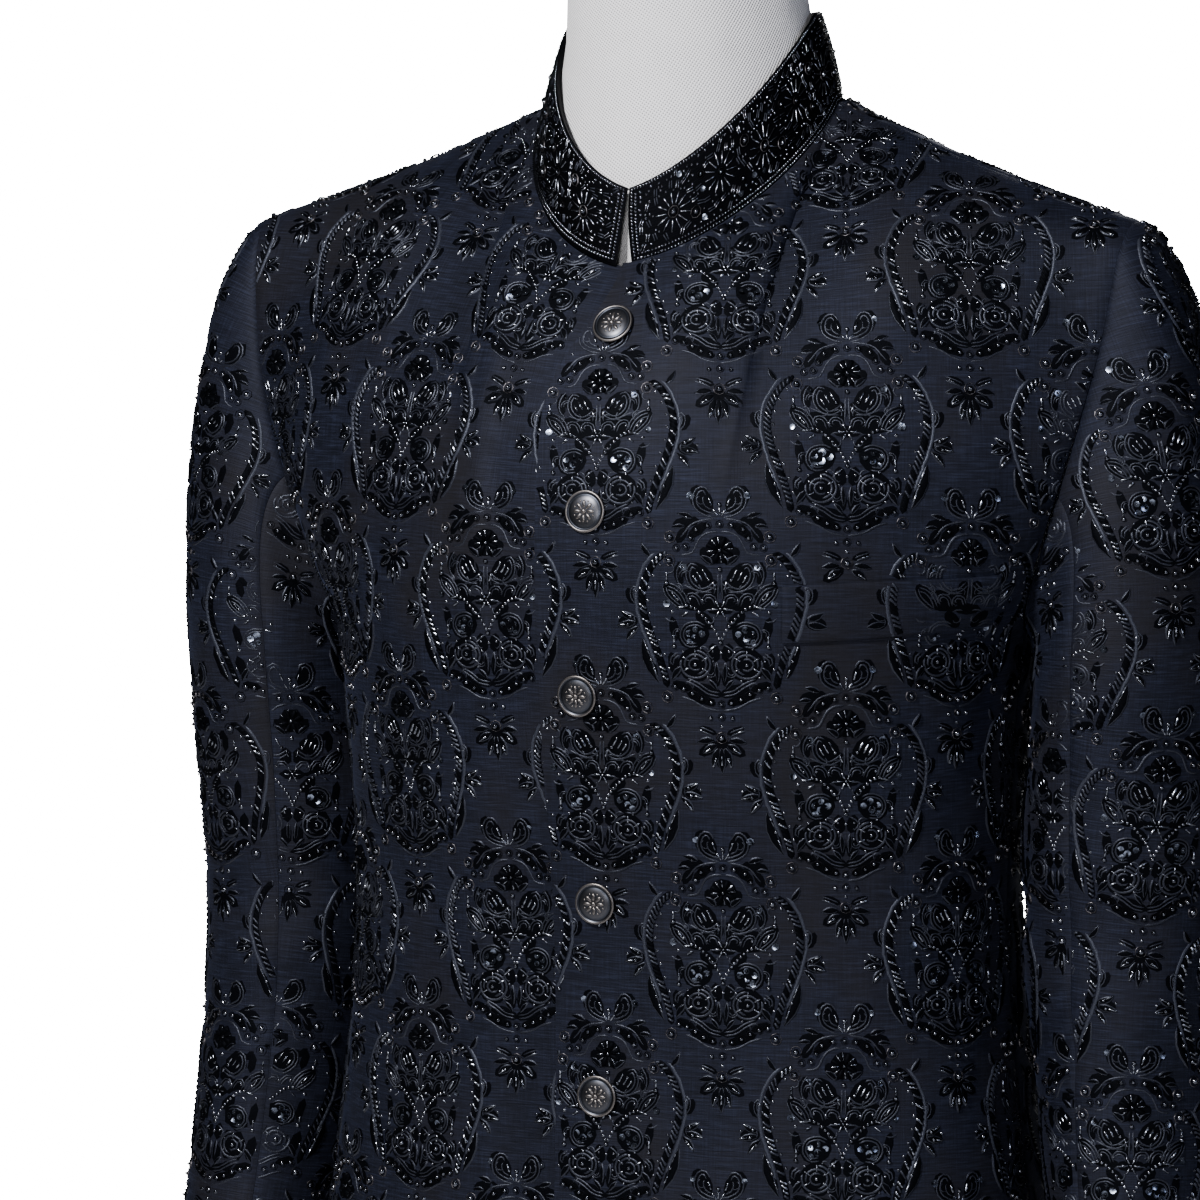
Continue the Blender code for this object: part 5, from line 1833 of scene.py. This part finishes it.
@dataclass
class Embroidery:
    """Works the medallions over every panel."""

    workbox: Workbox
    pitch_x: float = 61.0
    repeat_y: float = 172.0
    variants: int = 4
    jitter: float = 0.5  # how far hand work strays, millimetres
    stray_turn: float = 0.7  # how far it turns, degrees
    reach: tuple[float, float] = (56.0, 90.0)  # half a medallion's size, millimetres
    seed: int = 7
    full_seed: int = 11  # the first variant's
    plain_seed: int = 31

    def __post_init__(self) -> None:
        """Draws the medallions, each a little different."""
        self.random = np.random.default_rng(self.seed)
        self.rich, self.plain = (
            [Medallion().draw(Needle(full, seed + k)) for k in range(self.variants)]
            for full, seed in ((True, self.full_seed), (False, self.plain_seed))
        )
        log.info("medallions: %d and %d triangles", len(self.rich[0].faces), len(self.plain[0].faces))

    def centres(self, panel: ClothPanel, layout: Layout) -> list[tuple[float, float]]:
        """Places of the medallions that touch a panel.

        Args:
            panel: The panel.
            layout: Where its medallions lie.

        Returns:
            x and y on the flat cut, millimetres.
        """
        low, high = (f(panel.flat.reshape(-1, 2) / MM, axis=0) for f in (np.min, np.max))
        first = math.floor((low[0] - self.reach[0] - layout.column_x) / self.pitch_x)
        last = math.ceil((high[0] + self.reach[0] - layout.column_x) / self.pitch_x)
        found = []
        for k in range(first, last + 1):
            start = layout.row_y + (self.repeat_y / 2 if k % 2 else 0.0)
            below = math.floor((low[1] - self.reach[1] - start) / self.repeat_y)
            above = math.ceil((high[1] + self.reach[1] - start) / self.repeat_y)
            for j in range(below, above + 1):
                found.append((layout.column_x + k * self.pitch_x, start + j * self.repeat_y))
        return found

    def work(self, panel: ClothPanel, layout: Layout,
             bare: Callable[[Array], Array] | None = None) -> None:
        """Embroiders a panel.

        Args:
            panel: The panel.
            layout: Where its medallions lie.
            bare: Says which flat places, (n, 3) in millimetres, stay bare.
        """
        book = self.rich if layout.full else self.plain
        parts = []
        for x, y in self.centres(panel, layout):
            stray = self.random.uniform(-self.jitter, self.jitter, 2)
            pick = book[int(self.random.integers(len(book)))]
            turn = self.random.uniform(-self.stray_turn, self.stray_turn)
            parts.append(pick.moved(x + stray[0], y + stray[1], turn))
        self.lay(panel, gather(parts), bare)

    def lay(self, panel: ClothPanel, stitches: Stitches,
            bare: Callable[[Array], Array] | None = None, slot: str = "embroidered_silk") -> None:
        """Lays stitches on a panel and makes their two pieces, one of thread and one of beads.

        Args:
            panel: The panel.
            stitches: What to lay.
            bare: Says which flat places stay bare.
            slot: The record's slot for them; not used.
        """
        cloth_map = panel.cloth_map
        low, high = cloth_map.flat.min(axis=0), cloth_map.flat.max(axis=0)
        flat = stitches.points
        near = ((flat[:, :2] > low) & (flat[:, :2] < high)).all(axis=1)
        if bare is not None:
            near &= ~bare(flat)
        points, inside = np.zeros((len(flat), 3)), np.zeros(len(flat), dtype=bool)
        points[near], inside[near] = cloth_map.lay(flat[near])
        good = inside[stitches.faces].all(axis=1)
        dropped = np.zeros(int(stitches.element.max()) + 1, dtype=bool)
        dropped[stitches.element[~good]] = True
        keep = ~dropped[stitches.element]
        for kind, trims in TRIMS_OF.items():
            numbers = [t.value for t in trims]
            chosen = keep & np.isin(stitches.trim, numbers)
            if not chosen.any():
                continue
            faces = stitches.faces[chosen]
            used, renumbered = np.unique(faces, return_inverse=True)
            piece = mesh_object(
                panel.name.replace("cloth", kind), points[used], renumbered.reshape(-1, 3),
                [self.workbox.trims[t] for t in trims], flat[used, :2] * MM,
                np.searchsorted(numbers, stitches.trim[chosen]),
            )
            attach(piece, "root")


# ---- collar ----
@dataclass
class Collar:
    """The standing band, its two ends apart in front, covered with beadwork."""

    cut: CoatCut
    wall: float = 0.003
    belly: float = 0.0012
    top_half: float = 0.0665
    top_y: float = 0.006
    top_front: float = 0.080
    top_back: float = 0.062
    height_front: float = 0.036
    height_side: float = 0.043
    point: float = 1.2  # how soon it loses height towards its front ends
    rounding: float = 0.12  # how widely its top edge is rounded over the neck points
    lift: float = 0.0016
    side_lift: float = 0.0022
    sunk: float = 0.0024  # how far the foot is sewn down into the neckline
    gap_top: float = 0.0005
    gap_foot: float = 0.0045
    gap_bend: float = 1.5  # how late the ends part towards the foot
    columns: int = 140
    end_turn: float = 0.006  # radians from an end to the column next to it
    rows: int = 11
    edge_share: float = 0.018  # of the height, from a long edge to the row next to it
    roll_width: float = 0.0016
    roll_depth: float = 0.0007
    # the beadwork, millimetres
    border_foot: float = 3.3  # of the outer border of seed beads, from the band's edges
    border_head: float = 1.6
    border_end: float = 2.0
    border_step: float = 2.4  # from the outer border to the inner one
    border_pitch: float = 1.75
    flower_pitch: float = 29.0
    flower_swing: tuple[float, float] = (-2.0, 2.5)  # flowers lie low and high by turns
    bud_spread: tuple[float, float] = (3.0, 8.0)
    tries: int = 7000  # of places for the beads that fill the ground

    def row(self, up: float, turn: Array, inward: float = 0.0) -> Array:
        """The band at a share of its height.

        Args:
            up: 0 at the foot, 1 at the top.
            turn: From 0 in front over the left shoulder to 2 pi.
            inward: How far inside its face.

        Returns:
            Points, (n, 3).
        """
        foot = self.cut.neckline(np.where(turn > math.pi, 2 * math.pi - turn, turn))
        foot[:, 0] *= np.where(turn > math.pi, -1, 1)
        cos, sin = np.cos(turn), np.sin(turn)
        rise = self.lift + self.side_lift * sin**2
        top_z = foot[:, 2] + rise + self.height(turn)
        depth = np.where(cos > 0, self.top_front, self.top_back)
        top = np.stack([self.top_half * sin, self.top_y - depth * cos, top_z], axis=1)
        foot[:, 2] -= self.sunk
        row = foot + (top - foot) * up
        outward = self.belly * math.sin(math.pi * up) - inward
        row[:, 0] += outward * sin
        row[:, 1] -= outward * cos
        return row

    def height(self, turn: Array) -> Array:
        """The band's height round the neck.

        Args:
            turn: From 0 in front over the left shoulder to 2 pi.

        Returns:
            Heights.
        """
        front = np.where(np.cos(turn) > 0, 1 - np.abs(np.sin(turn)), 0) ** self.point
        height = self.height_side + (self.height_front - self.height_side) * front
        fall = self.cut.neck_fall(turn)
        rounded = (fall + np.hypot(fall, self.rounding)) / 2
        return height - self.cut.neck_drop * (rounded - np.maximum(fall, 0))

    def panel(self) -> ClothPanel:
        """The band's grid with rounded edges, and its flat cut.

        Returns:
            The panel.
        """
        edge = self.edge_share
        ups = np.concatenate([[0, edge], np.linspace(3 * edge, 1 - 3 * edge, self.rows), [1 - edge, 1]])
        rows = []
        for up in ups:
            gap = self.gap_top + (self.gap_foot - self.gap_top) * (1 - up) ** self.gap_bend
            start = math.asin(gap / self.cut.neck_half)
            at = np.linspace(start, 2 * math.pi - start, self.columns)
            turn = np.insert(at, [1, len(at) - 1], [at[0] + self.end_turn, at[-1] - self.end_turn])
            rows.append(self.row(up, turn))
        grid = np.array(rows)
        length = arc_lengths(grid[len(ups) // 2])
        tall = np.linalg.norm(grid[-1] - grid[0], axis=1)
        self.length = float(length[-1])
        self.tall = tall
        flat = np.stack(np.broadcast_arrays(length[None, :], ups[:, None] * tall[None, :]), axis=-1)
        # roll the long edges and the ends over
        normals = row_normals(grid)
        away = np.minimum(ups, 1 - ups)[:, None] * tall[None, :]
        ends = np.minimum(length, length[-1] - length)[None, :]
        roll = 1 - ease(np.minimum(away, ends) / self.roll_width)
        grid = grid - normals * (roll * self.roll_depth)[..., None]
        return ClothPanel("cloth_collar", "collar", grid, flat.copy(), self.wall)

    def beadwork(self, panel: ClothPanel) -> Stitches:
        """Borders of seed beads round bugle flowers, ringed beads, sprays and scattered beads.

        Args:
            panel: The band.

        Returns:
            The stitches.
        """
        n = Needle(seed=51, finest_step=1.2)
        length, tall = self.length / MM, self.tall / MM
        at = panel.flat[0, :, 0] / MM
        foot, head, end = self.border_foot, self.border_head, self.border_end

        def high(x: float) -> float:
            """The height of the border's upper run at a distance along the band."""
            return float(np.interp(x, at, tall)) - head

        for inset in (0.0, self.border_step):
            for x in np.arange(end + inset, length - end - inset, self.border_pitch):
                n.seed_bead(x, foot + inset)
                if inset == 0:
                    n.seed_bead(x, high(x))
            for x in (end + inset, length - end - inset):
                for y in np.arange(foot + inset, high(x) - inset, self.border_pitch):
                    n.seed_bead(x, y)
        taken: list[tuple[float, float, float]] = []
        count = int(length // self.flower_pitch)
        first = (length - (count - 1) * self.flower_pitch) / 2
        for k in range(count):
            x = first + k * self.flower_pitch
            y = 0.5 * (foot + high(x)) + self.flower_swing[k % 2]
            n.ringed(x, y, large=k % 2 == 0)
            n.rays(x, y, 13, 3.6, 9.8, 90 + 7 * k, 360, radius=0.36)
            taken.append((x, y, 9.2))
            x += self.flower_pitch / 2
            y = 0.5 * (foot + high(x))
            for side in (1, -1) if k + 1 < count else ():
                bud = (x + self.bud_spread[0] * side, y + side * self.bud_spread[1])
                n.ringed(*bud, large=side * (k % 2 * 2 - 1) > 0)
                taken.append((*bud, 3.2))
        for _ in range(self.tries):
            x = n.random.uniform(end + 4.6, length - end - 4.6)
            y = n.random.uniform(foot + 4.4, high(x) - 1.8)
            size = 1.7 if n.random.random() < 0.6 else 0.95
            if any((x - a) ** 2 + (y - b) ** 2 < (r + size) ** 2 for a, b, r in taken):
                continue
            taken.append((x, y, size))
            if size > 1:
                # a pair of bugles or cords side by side, in sprays that turn along the band
                lean = 50 + 45 * math.sin(0.11 * x) + n.random.uniform(-24, 24)
                c, s = turned_to(lean + 90)
                made_of = Trim.BUGLE if n.random.random() < 0.6 else Trim.CORD
                for aside in (-0.65, 0.65):
                    n.tube(x + aside * c, y + aside * s, lean + n.random.uniform(-6, 6), 4.0, 0.34, made_of)
            elif n.random.random() < 0.05:
                n.sequin(x, y, 1.5)
            else:
                n.seed_bead(x, y, 0.75)
        return n.finished()

    def build(self, workbox: Workbox, embroidery: Embroidery) -> None:
        """Makes the band and its beadwork.

        Args:
            workbox: The finishes.
            embroidery: The worker.
        """
        panel = self.panel()
        panel.build(workbox.band, "beaded_collar", ["cloth_front_left", "cloth_back_left"], "stretched")
        embroidery.lay(panel, self.beadwork(panel), slot="beaded_collar")


# ---- breast welt ----
@dataclass
class BreastWelt:
    """The welt of the breast pocket on the left front, worked in flat thread, in millimetres."""

    left: float = 100.0  # its two ends on the front's flat cut
    right: float = 209.0
    tall: float = 28.0
    slope: float = 6.0  # how much higher its outer end lies
    stand: float = 0.6
    wall: float = 1.6
    rows: int = 14
    columns: int = 46
    edges: tuple[float, float] = (0.4, 1.2)  # where the two rows next to an edge lie
    roll_width: float = 1.0
    roll_depth: float = 0.5
    reach: tuple[float, float, float] = (60, -70, 100)  # medallions that touch it: aside, low, high
    flatness: float = 0.45  # its stitches' height as a share of the front's

    def covers(self, places: Array) -> Array:
        """Which flat places lie under the welt.

        Args:
            places: x and y on the flat cut, (n, 2) or more.

        Returns:
            True where they lie under it.
        """
        along = (places[:, 0] - self.left) / (self.right - self.left)
        low = self.slope * along
        return (along > 0.0) & (along < 1.0) & (places[:, 1] > low) & (places[:, 1] < low + self.tall)

    def build(self, front: ClothPanel, embroidery: Embroidery, layout: Layout,
              finish: bpy.types.Material) -> None:
        """Makes the welt from the left front's own cloth, and its flat stitches.

        Args:
            front: The left front.
            embroidery: The worker.
            layout: The left front's layout, which runs on over the welt.
            finish: Its cloth.
        """
        def spaced(count: int, size: float) -> Array:
            """Even stations with a pair close to either end.

            Args:
                count: How many.
                size: The whole length.

            Returns:
                Distances from the first edge.
            """
            near, next_one = self.edges
            inner = np.linspace(next_one, size - next_one, count)
            return np.concatenate([[0, near], inner, [size - near, size]])

        across = spaced(self.columns, self.right - self.left)
        upward = spaced(self.rows, self.tall)
        x, y = np.meshgrid(self.left + across, upward)
        y = y + self.slope * (x - self.left) / (self.right - self.left)
        from_side, from_end = np.minimum(upward, upward[::-1]), np.minimum(across, across[::-1])
        edge = np.minimum(from_end[None, :], from_side[:, None])
        height = self.stand + self.wall - self.roll_depth * (1 - ease(edge / self.roll_width))
        places = np.stack([x, y, height], axis=-1)
        rows, _ = front.cloth_map.lay(places.reshape(-1, 3))
        rows = rows.reshape(places.shape)
        panel = ClothPanel("cloth_breast_welt", "breast_welt", rows, places[..., :2] * MM, self.wall * MM)
        panel.build(finish, "embroidered_silk", ["cloth_front_left"], "laid")
        aside, low, high = self.reach
        stitches = gather([
            embroidery.rich[0].moved(cx, cy)
            for cx, cy in embroidery.centres(front, layout)
            if self.left - aside < cx < self.right + aside and low < cy < high
        ])
        thread = np.isin(stitches.trim, [trim.value for trim in TRIMS_OF["thread"]])
        points = stitches.points * (1, 1, self.flatness)
        flatter = Stitches(points, stitches.faces[thread], stitches.element[thread], stitches.trim[thread])
        embroidery.lay(panel, flatter)


# ---- buttons ----
@dataclass
class Button:
    """A domed gunmetal button: rolled rim, sunk ring and a struck rosette."""

    radius: float = 0.0100
    shank_radius: float = 0.0030
    shank: float = 0.0016
    blank: float = 0.0011  # thickness of the disc that the rings are struck in
    blank_share: float = 0.93  # of the radius, before the rim is rolled out
    sides: int = 56
    # width and rise of each ring inwards: the rim's roll, its inner side, the sunk ring, the dome
    rings: Table = (
        (-0.00045, 0.0005), (-0.00025, 0.0004), (0.00020, 0.00045), (0.00045, 0.00015),
        (0.00050, -0.0001), (0.00030, -0.0004), (0.00055, -0.00015), (0.00045, 0.0002),
        (0.0010, 0.0004), (0.0014, 0.00032), (0.0018, 0.00020), (0.0016, 0.00008),
    )
    relief_rise: float = 0.0034  # of the boss above the shank
    petals: int = 8
    # distance from the middle, depth below the boss, and size of a petal, a bead and the boss
    petal: tuple[float, ...] = (0.0035, 0.00026, 0.0020, 0.00095, 0.00055)
    bead: tuple[float, ...] = (0.0053, 0.00075, 0.00055, 0.00055, 0.0005)
    boss: tuple[float, ...] = (0.0, 0.0, 0.0013, 0.0013, 0.0007)

    def modelled(self, name: str) -> bpy.types.Object:
        """One button about its own axis, the middle of its blank at its mesh's origin.

        Args:
            name: The piece's name.

        Returns:
            The button's object, its axis along +Z.
        """
        select_only()
        bpy.ops.mesh.primitive_cylinder_add(vertices=self.sides, radius=self.radius * self.blank_share,
                                            depth=self.blank, location=(0, 0, self.shank + self.blank / 2))
        made = bpy.context.object
        made.name = made.data.name = name
        bpy.ops.object.mode_set(mode="EDIT")
        bpy.ops.mesh.select_mode(type="FACE")
        bpy.ops.mesh.select_all(action="DESELECT")
        self.pick_cap(made, 1)
        for thickness, depth in self.rings:
            bpy.ops.mesh.inset(thickness=abs(thickness), depth=depth, use_outset=thickness < 0)
        bpy.ops.mesh.select_all(action="DESELECT")
        self.pick_cap(made, -1)
        bpy.ops.mesh.inset(thickness=self.radius * self.blank_share - self.shank_radius, depth=0)
        bpy.ops.mesh.extrude_region_move(TRANSFORM_OT_translate={"value": (0, 0, -self.shank)})
        bpy.ops.object.mode_set(mode="OBJECT")
        return made

    @staticmethod
    def pick_cap(made: bpy.types.Object, side: int) -> None:
        """Selects a flat cap.

        Args:
            made: The object, in edit mode.
            side: 1 for the cap that faces up, -1 for the other.
        """
        body = bmesh.from_edit_mesh(made.data)
        caps = [f for f in body.faces if f.normal.z * side > 0.99]
        cap = max(caps, key=lambda f: len(f.verts))
        cap.select_set(True)
        body.faces.active = cap
        bmesh.update_edit_mesh(made.data)

    def rosette(self) -> bpy.types.Object:
        """The struck relief: petals round a boss, with small beads between them.

        Returns:
            The relief's object.
        """
        pieces = []

        def dome(kind: tuple[float, ...], turn: float) -> None:
            """Adds one flattened dome.

            Args:
                kind: Its distance from the middle, depth and size.
                turn: Its direction.
            """
            out, below, *size = kind
            place = (out * math.cos(turn), out * math.sin(turn), self.shank + self.relief_rise - below)
            bpy.ops.mesh.primitive_uv_sphere_add(segments=10, ring_count=6, location=place,
                                                 rotation=(0, 0, turn))
            bpy.context.object.scale = size
            pieces.append(bpy.context.object)

        for k in range(self.petals):
            dome(self.petal, 2 * math.pi * k / self.petals)
            dome(self.bead, 2 * math.pi * k / self.petals + math.pi / self.petals)
        dome(self.boss, 0)
        for piece in pieces:
            bake_place(piece)
        select_only(*pieces)
        bpy.ops.object.join()
        return bpy.context.object

    def build(self, node: str, finish: bpy.types.Material) -> None:
        """Makes the button that stands for a node, square to the cloth as the node is.

        Args:
            node: The node's name.
            finish: Its metal.
        """
        corners = np.array([v.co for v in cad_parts[node].data.vertices])
        centre = 0.5 * (corners.min(axis=0) + corners.max(axis=0))
        axis = np.linalg.svd(corners - corners.mean(axis=0), full_matrices=False)[2][2]
        axis = axis * (-1 if axis[1] > 0 else 1)
        heights = (corners - centre) @ axis
        foot = centre + axis * heights.min()
        made = self.modelled("metal_" + node)
        select_only(made, self.rosette())
        bpy.ops.object.join()
        # the blank's middle comes to the node's foot, which sinks the shank into the cloth
        square = Vector(axis).to_track_quat("Z", "Y").to_matrix().to_4x4()
        made.matrix_basis = Matrix.Translation(foot) @ square
        bake_place(made)
        keep_edges(made, 50)
        set_finish(made, finish)
        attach(made, "root")
        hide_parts(node)


# ---- dress form and stand ----
@dataclass
class DressForm:
    """The limbless form, covered in linen: the frame's form with its facets rounded off."""

    node: str = "form_torso"
    neck_radius: float = 0.0615
    body_radius: float = 0.17
    neck_z: float = 1.42
    root_depth: float = 0.0034  # how far the rounded root of the neck is drawn in
    root_width: float = 0.022
    weld: float = 0.00002  # corners of the frame's form as close as this are one
    flat_from: float = 0.75  # faces that look up or down by more than this take a plan's map

    def build(self, cut: CoatCut, finish: bpy.types.Material) -> None:
        """Makes the form.

        Args:
            cut: The coat's sizes, for its neckline.
            finish: Its linen.
        """
        made = link_new("linen_form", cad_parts[self.node].data.copy())
        set_finish(made, finish)
        select_only(made)
        bpy.ops.object.mode_set(mode="EDIT")
        bpy.ops.mesh.select_all(action="SELECT")
        bpy.ops.mesh.remove_doubles(threshold=self.weld)
        bpy.ops.mesh.tris_convert_to_quads()
        bpy.ops.object.mode_set(mode="OBJECT")
        rounding = made.modifiers.new("rounding", "SUBSURF")
        rounding.levels = rounding.render_levels = 1
        bpy.ops.object.modifier_apply(modifier=rounding.name)
        self.draw_in(made.data, cut)
        made.data.shade_smooth()
        self.wrap_linen(made.data)
        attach(made, "root")
        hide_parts(self.node)

    def draw_in(self, mesh: bpy.types.Mesh, cut: CoatCut) -> None:
        """Draws the root of the neck in under the neckline, where rounding has filled its hollow.

        Args:
            mesh: The form's mesh.
            cut: The coat's sizes, for its neckline.
        """
        places = np.array([v.co for v in mesh.vertices])
        normals = np.array([v.normal for v in mesh.vertices])
        half = cut.neckline(np.linspace(0, math.pi, 90))
        edge = np.concatenate([half, half * (-1, 1, 1)])
        away = np.array([np.linalg.norm(edge - place, axis=1).min() for place in places])
        depth = self.root_depth * (1 - ease(away / self.root_width))
        mesh.vertices.foreach_set("co", (places - normals * depth[:, None]).ravel())
        mesh.update()

    def wrap_linen(self, mesh: bpy.types.Mesh) -> None:
        """Lays the linen's own map round the neck and the body, in metres.

        Args:
            mesh: The form's mesh.
        """
        flat = mesh.uv_layers.new(name="flat_cut")
        for face in mesh.polygons:
            base = math.atan2(face.center.x, -face.center.y)
            around = self.neck_radius if face.center.z > self.neck_z else self.body_radius
            for loop in face.loop_indices:
                place = mesh.vertices[mesh.loops[loop].vertex_index].co
                if abs(face.normal.z) > self.flat_from:
                    flat.data[loop].uv = place.xy
                    continue
                turn = math.atan2(place.x, -place.y)
                turn += 2 * math.pi * round((base - turn) / (2 * math.pi))
                flat.data[loop].uv = (turn * around, place.z)


@dataclass
class Stand:
    """A steel pole on a round bevelled plate."""

    pole_radius: float = 0.016
    pole_bevel: float = 0.0006
    pole_sides: int = 64
    base_radius: float = 0.190
    base_height: float = 0.012
    base_bevel: float = 0.004
    base_sides: int = 160
    bevel_segments: int = 5
    insets: tuple[float, float] = (0.35, 0.40)  # of the radius, so that no cap face is long and thin

    def turned(self, name: str, node: str, radius: float, low: float, high: float, sides: int,
               bevel: float, finish: bpy.types.Material) -> None:
        """Makes a bar or plate with rounded edges.

        Args:
            name: The piece's name.
            node: The node that it stands for.
            radius, low, high: Its size.
            sides: Number of sides.
            bevel: Rounding of its edges.
            finish: Its metal.
        """
        select_only()
        bpy.ops.mesh.primitive_cylinder_add(vertices=sides, radius=radius, depth=high - low,
                                            location=(0, 0, 0.5 * (low + high)))
        made = bpy.context.object
        made.name = made.data.name = name
        bpy.ops.object.transform_apply(location=True, rotation=True, scale=True)
        bpy.ops.object.mode_set(mode="EDIT")
        bpy.ops.mesh.select_mode(type="FACE")
        bpy.ops.mesh.select_all(action="DESELECT")
        shape = bmesh.from_edit_mesh(made.data)
        for face in shape.faces:
            face.select_set(abs(face.normal.z) > 0.9)
        bmesh.update_edit_mesh(made.data)
        for inset in self.insets:
            bpy.ops.mesh.inset(thickness=radius * inset)
        bpy.ops.object.mode_set(mode="OBJECT")
        rounding = made.modifiers.new("rounding", "BEVEL")
        rounding.width = bevel
        rounding.segments = self.bevel_segments
        rounding.limit_method = "ANGLE"
        bpy.ops.object.modifier_apply(modifier=rounding.name)
        keep_edges(made, 35)
        set_finish(made, finish)
        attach(made, "root")
        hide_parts(node)

    def build(self, finish: bpy.types.Material) -> None:
        """Makes the pole and the base plate.

        Args:
            finish: Their metal.
        """
        low, high = (corner[2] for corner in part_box("stand_pole"))
        self.turned("steel_pole", "stand_pole", self.pole_radius, low, high, self.pole_sides,
                    self.pole_bevel, finish)
        self.turned("steel_base", "stand_base", self.base_radius, 0, self.base_height,
                    self.base_sides, self.base_bevel, finish)


# ---- studio ----
@dataclass
class Studio:
    """A pale floor, soft lights and the camera."""

    azimuth: float = 24.0
    elevation: float = 5.0
    distance: float = 2.6
    lens: float = 152.0
    sensor: float = 36.0
    aim_z: float = 1.216
    aim_right: float = -0.044
    floor_radius: float = 3.0
    floor_sides: int = 96
    backdrop: float = 30.0  # strength of the white that the camera sees
    haze: float = 0.05  # strength of the pale blue that lights the object
    # name, place, side, watts and tint
    lamps: tuple[tuple[Any, ...], ...] = (
        ("key", (-0.4, -2.0, 2.6), 0.3, 90, "#ffffff"),
        ("fill", (2.6, -1.6, 1.7), 0.7, 14, "#dfe8ff"),
        ("front", (0.9, -3.2, 1.5), 0.7, 27, "#ffffff"),
        ("back", (-0.8, 3.0, 1.8), 1.6, 36, "#ffffff"),
    )
    lit_z: float = 1.2  # height that the lamps point at

    def camera(self) -> None:
        """Places the camera and makes it the scene's own."""
        az, el = math.radians(self.azimuth), math.radians(self.elevation)
        forward = Vector((-math.sin(az) * math.cos(el), math.cos(az) * math.cos(el), -math.sin(el)))
        right = Vector((math.cos(az), math.sin(az), 0))
        target = Vector((0, 0, self.aim_z)) + right * self.aim_right
        lens = bpy.data.cameras.new("camera")
        lens.lens, lens.sensor_width, lens.clip_end = self.lens, self.sensor, 100.0
        made = link_new("camera", lens)
        made.location = target - forward * self.distance
        made.rotation_euler = forward.to_track_quat("-Z", "Y").to_euler()
        bpy.context.scene.camera = made

    def lamp(self, name: str, place: tuple[float, float, float], size: float, watts: float,
             tint: str) -> None:
        """Adds a soft square light.

        Args:
            name: Its name.
            place: Where it stands.
            size: Its side.
            watts: Its power.
            tint: Its colour.
        """
        light = bpy.data.lights.new(name, "AREA")
        light.size, light.energy, light.color = size, watts, colour(tint)[:3]
        made = link_new(name, light)
        made.location = place
        way = Vector((0, 0, self.lit_z)) - Vector(place)
        made.rotation_euler = way.to_track_quat("-Z", "Y").to_euler()

    def build(self) -> None:
        """Makes the floor, the light and the camera."""
        select_only()
        bpy.ops.mesh.primitive_circle_add(vertices=self.floor_sides, radius=self.floor_radius,
                                          fill_type="NGON")
        floor = bpy.context.object
        floor.name = "studio_floor"
        floor.data.materials.append(StudioPaint().build())
        floor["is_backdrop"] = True
        world = bpy.context.scene.world or bpy.data.worlds.new("studio")
        bpy.context.scene.world = world
        world.use_nodes = True
        tree = world.node_tree
        tree.nodes.clear()
        seen = add(tree, "Background", {"Color": colour("#ffffff"), "Strength": self.backdrop})
        light = add(tree, "Background", {"Color": colour("#eef1f8"), "Strength": self.haze})
        mix = add(tree, "MixShader", {0: add(tree, "LightPath").outputs["Is Camera Ray"],
                                      1: light.outputs[0], 2: seen.outputs[0]})
        add(tree, "OutputWorld", {"Surface": mix.outputs[0]})
        for lamp in self.lamps:
            self.lamp(*lamp)
        self.camera()


def under_left_front(places: Array) -> Array:
    """Which flat places of the right front, in millimetres, lie under the left one."""
    return places[:, 0] > -24.5


def main() -> None:
    """Builds every piece in order."""
    workbox = Workbox()
    Studio().build()
    cut = CoatCut()
    collar = Collar(cut)
    DressForm().build(cut, workbox.linen)
    Stand().build(workbox.steel)
    cutter = CoatCutter(cut)
    fronts, backs, sleeves = cutter.fronts(), cutter.backs(), cutter.sleeves()
    for panel in (*fronts, *backs):
        panel.build(workbox.silk, "embroidered_silk", ["linen_form"])
    for panel in sleeves:
        panel.build(workbox.silk, "embroidered_silk", [fronts[0].name, backs[0].name], "hung")
    embroidery = Embroidery(workbox)
    welt = BreastWelt()
    front_layout = Layout(9.0, 106.0)
    embroidery.work(fronts[0], front_layout, welt.covers)
    embroidery.work(fronts[1], front_layout, under_left_front)
    for panel in backs:
        embroidery.work(panel, Layout(30.5, 106.0, full=False))
    for panel in sleeves:
        embroidery.work(panel, Layout(0.0, 20.0, full="top" in panel.name and "left" in panel.name))
    welt.build(fronts[0], embroidery, front_layout, workbox.silk)
    collar.build(workbox, embroidery)
    for k in range(1, 8):
        Button().build(f"button_{k}", workbox.gunmetal)
    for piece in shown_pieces():
        log.info("%s: %d faces", piece.name, len(piece.data.polygons))


if __name__ == "__main__":
    logging.basicConfig(level=logging.INFO, format="%(name)s: %(message)s")
    main()
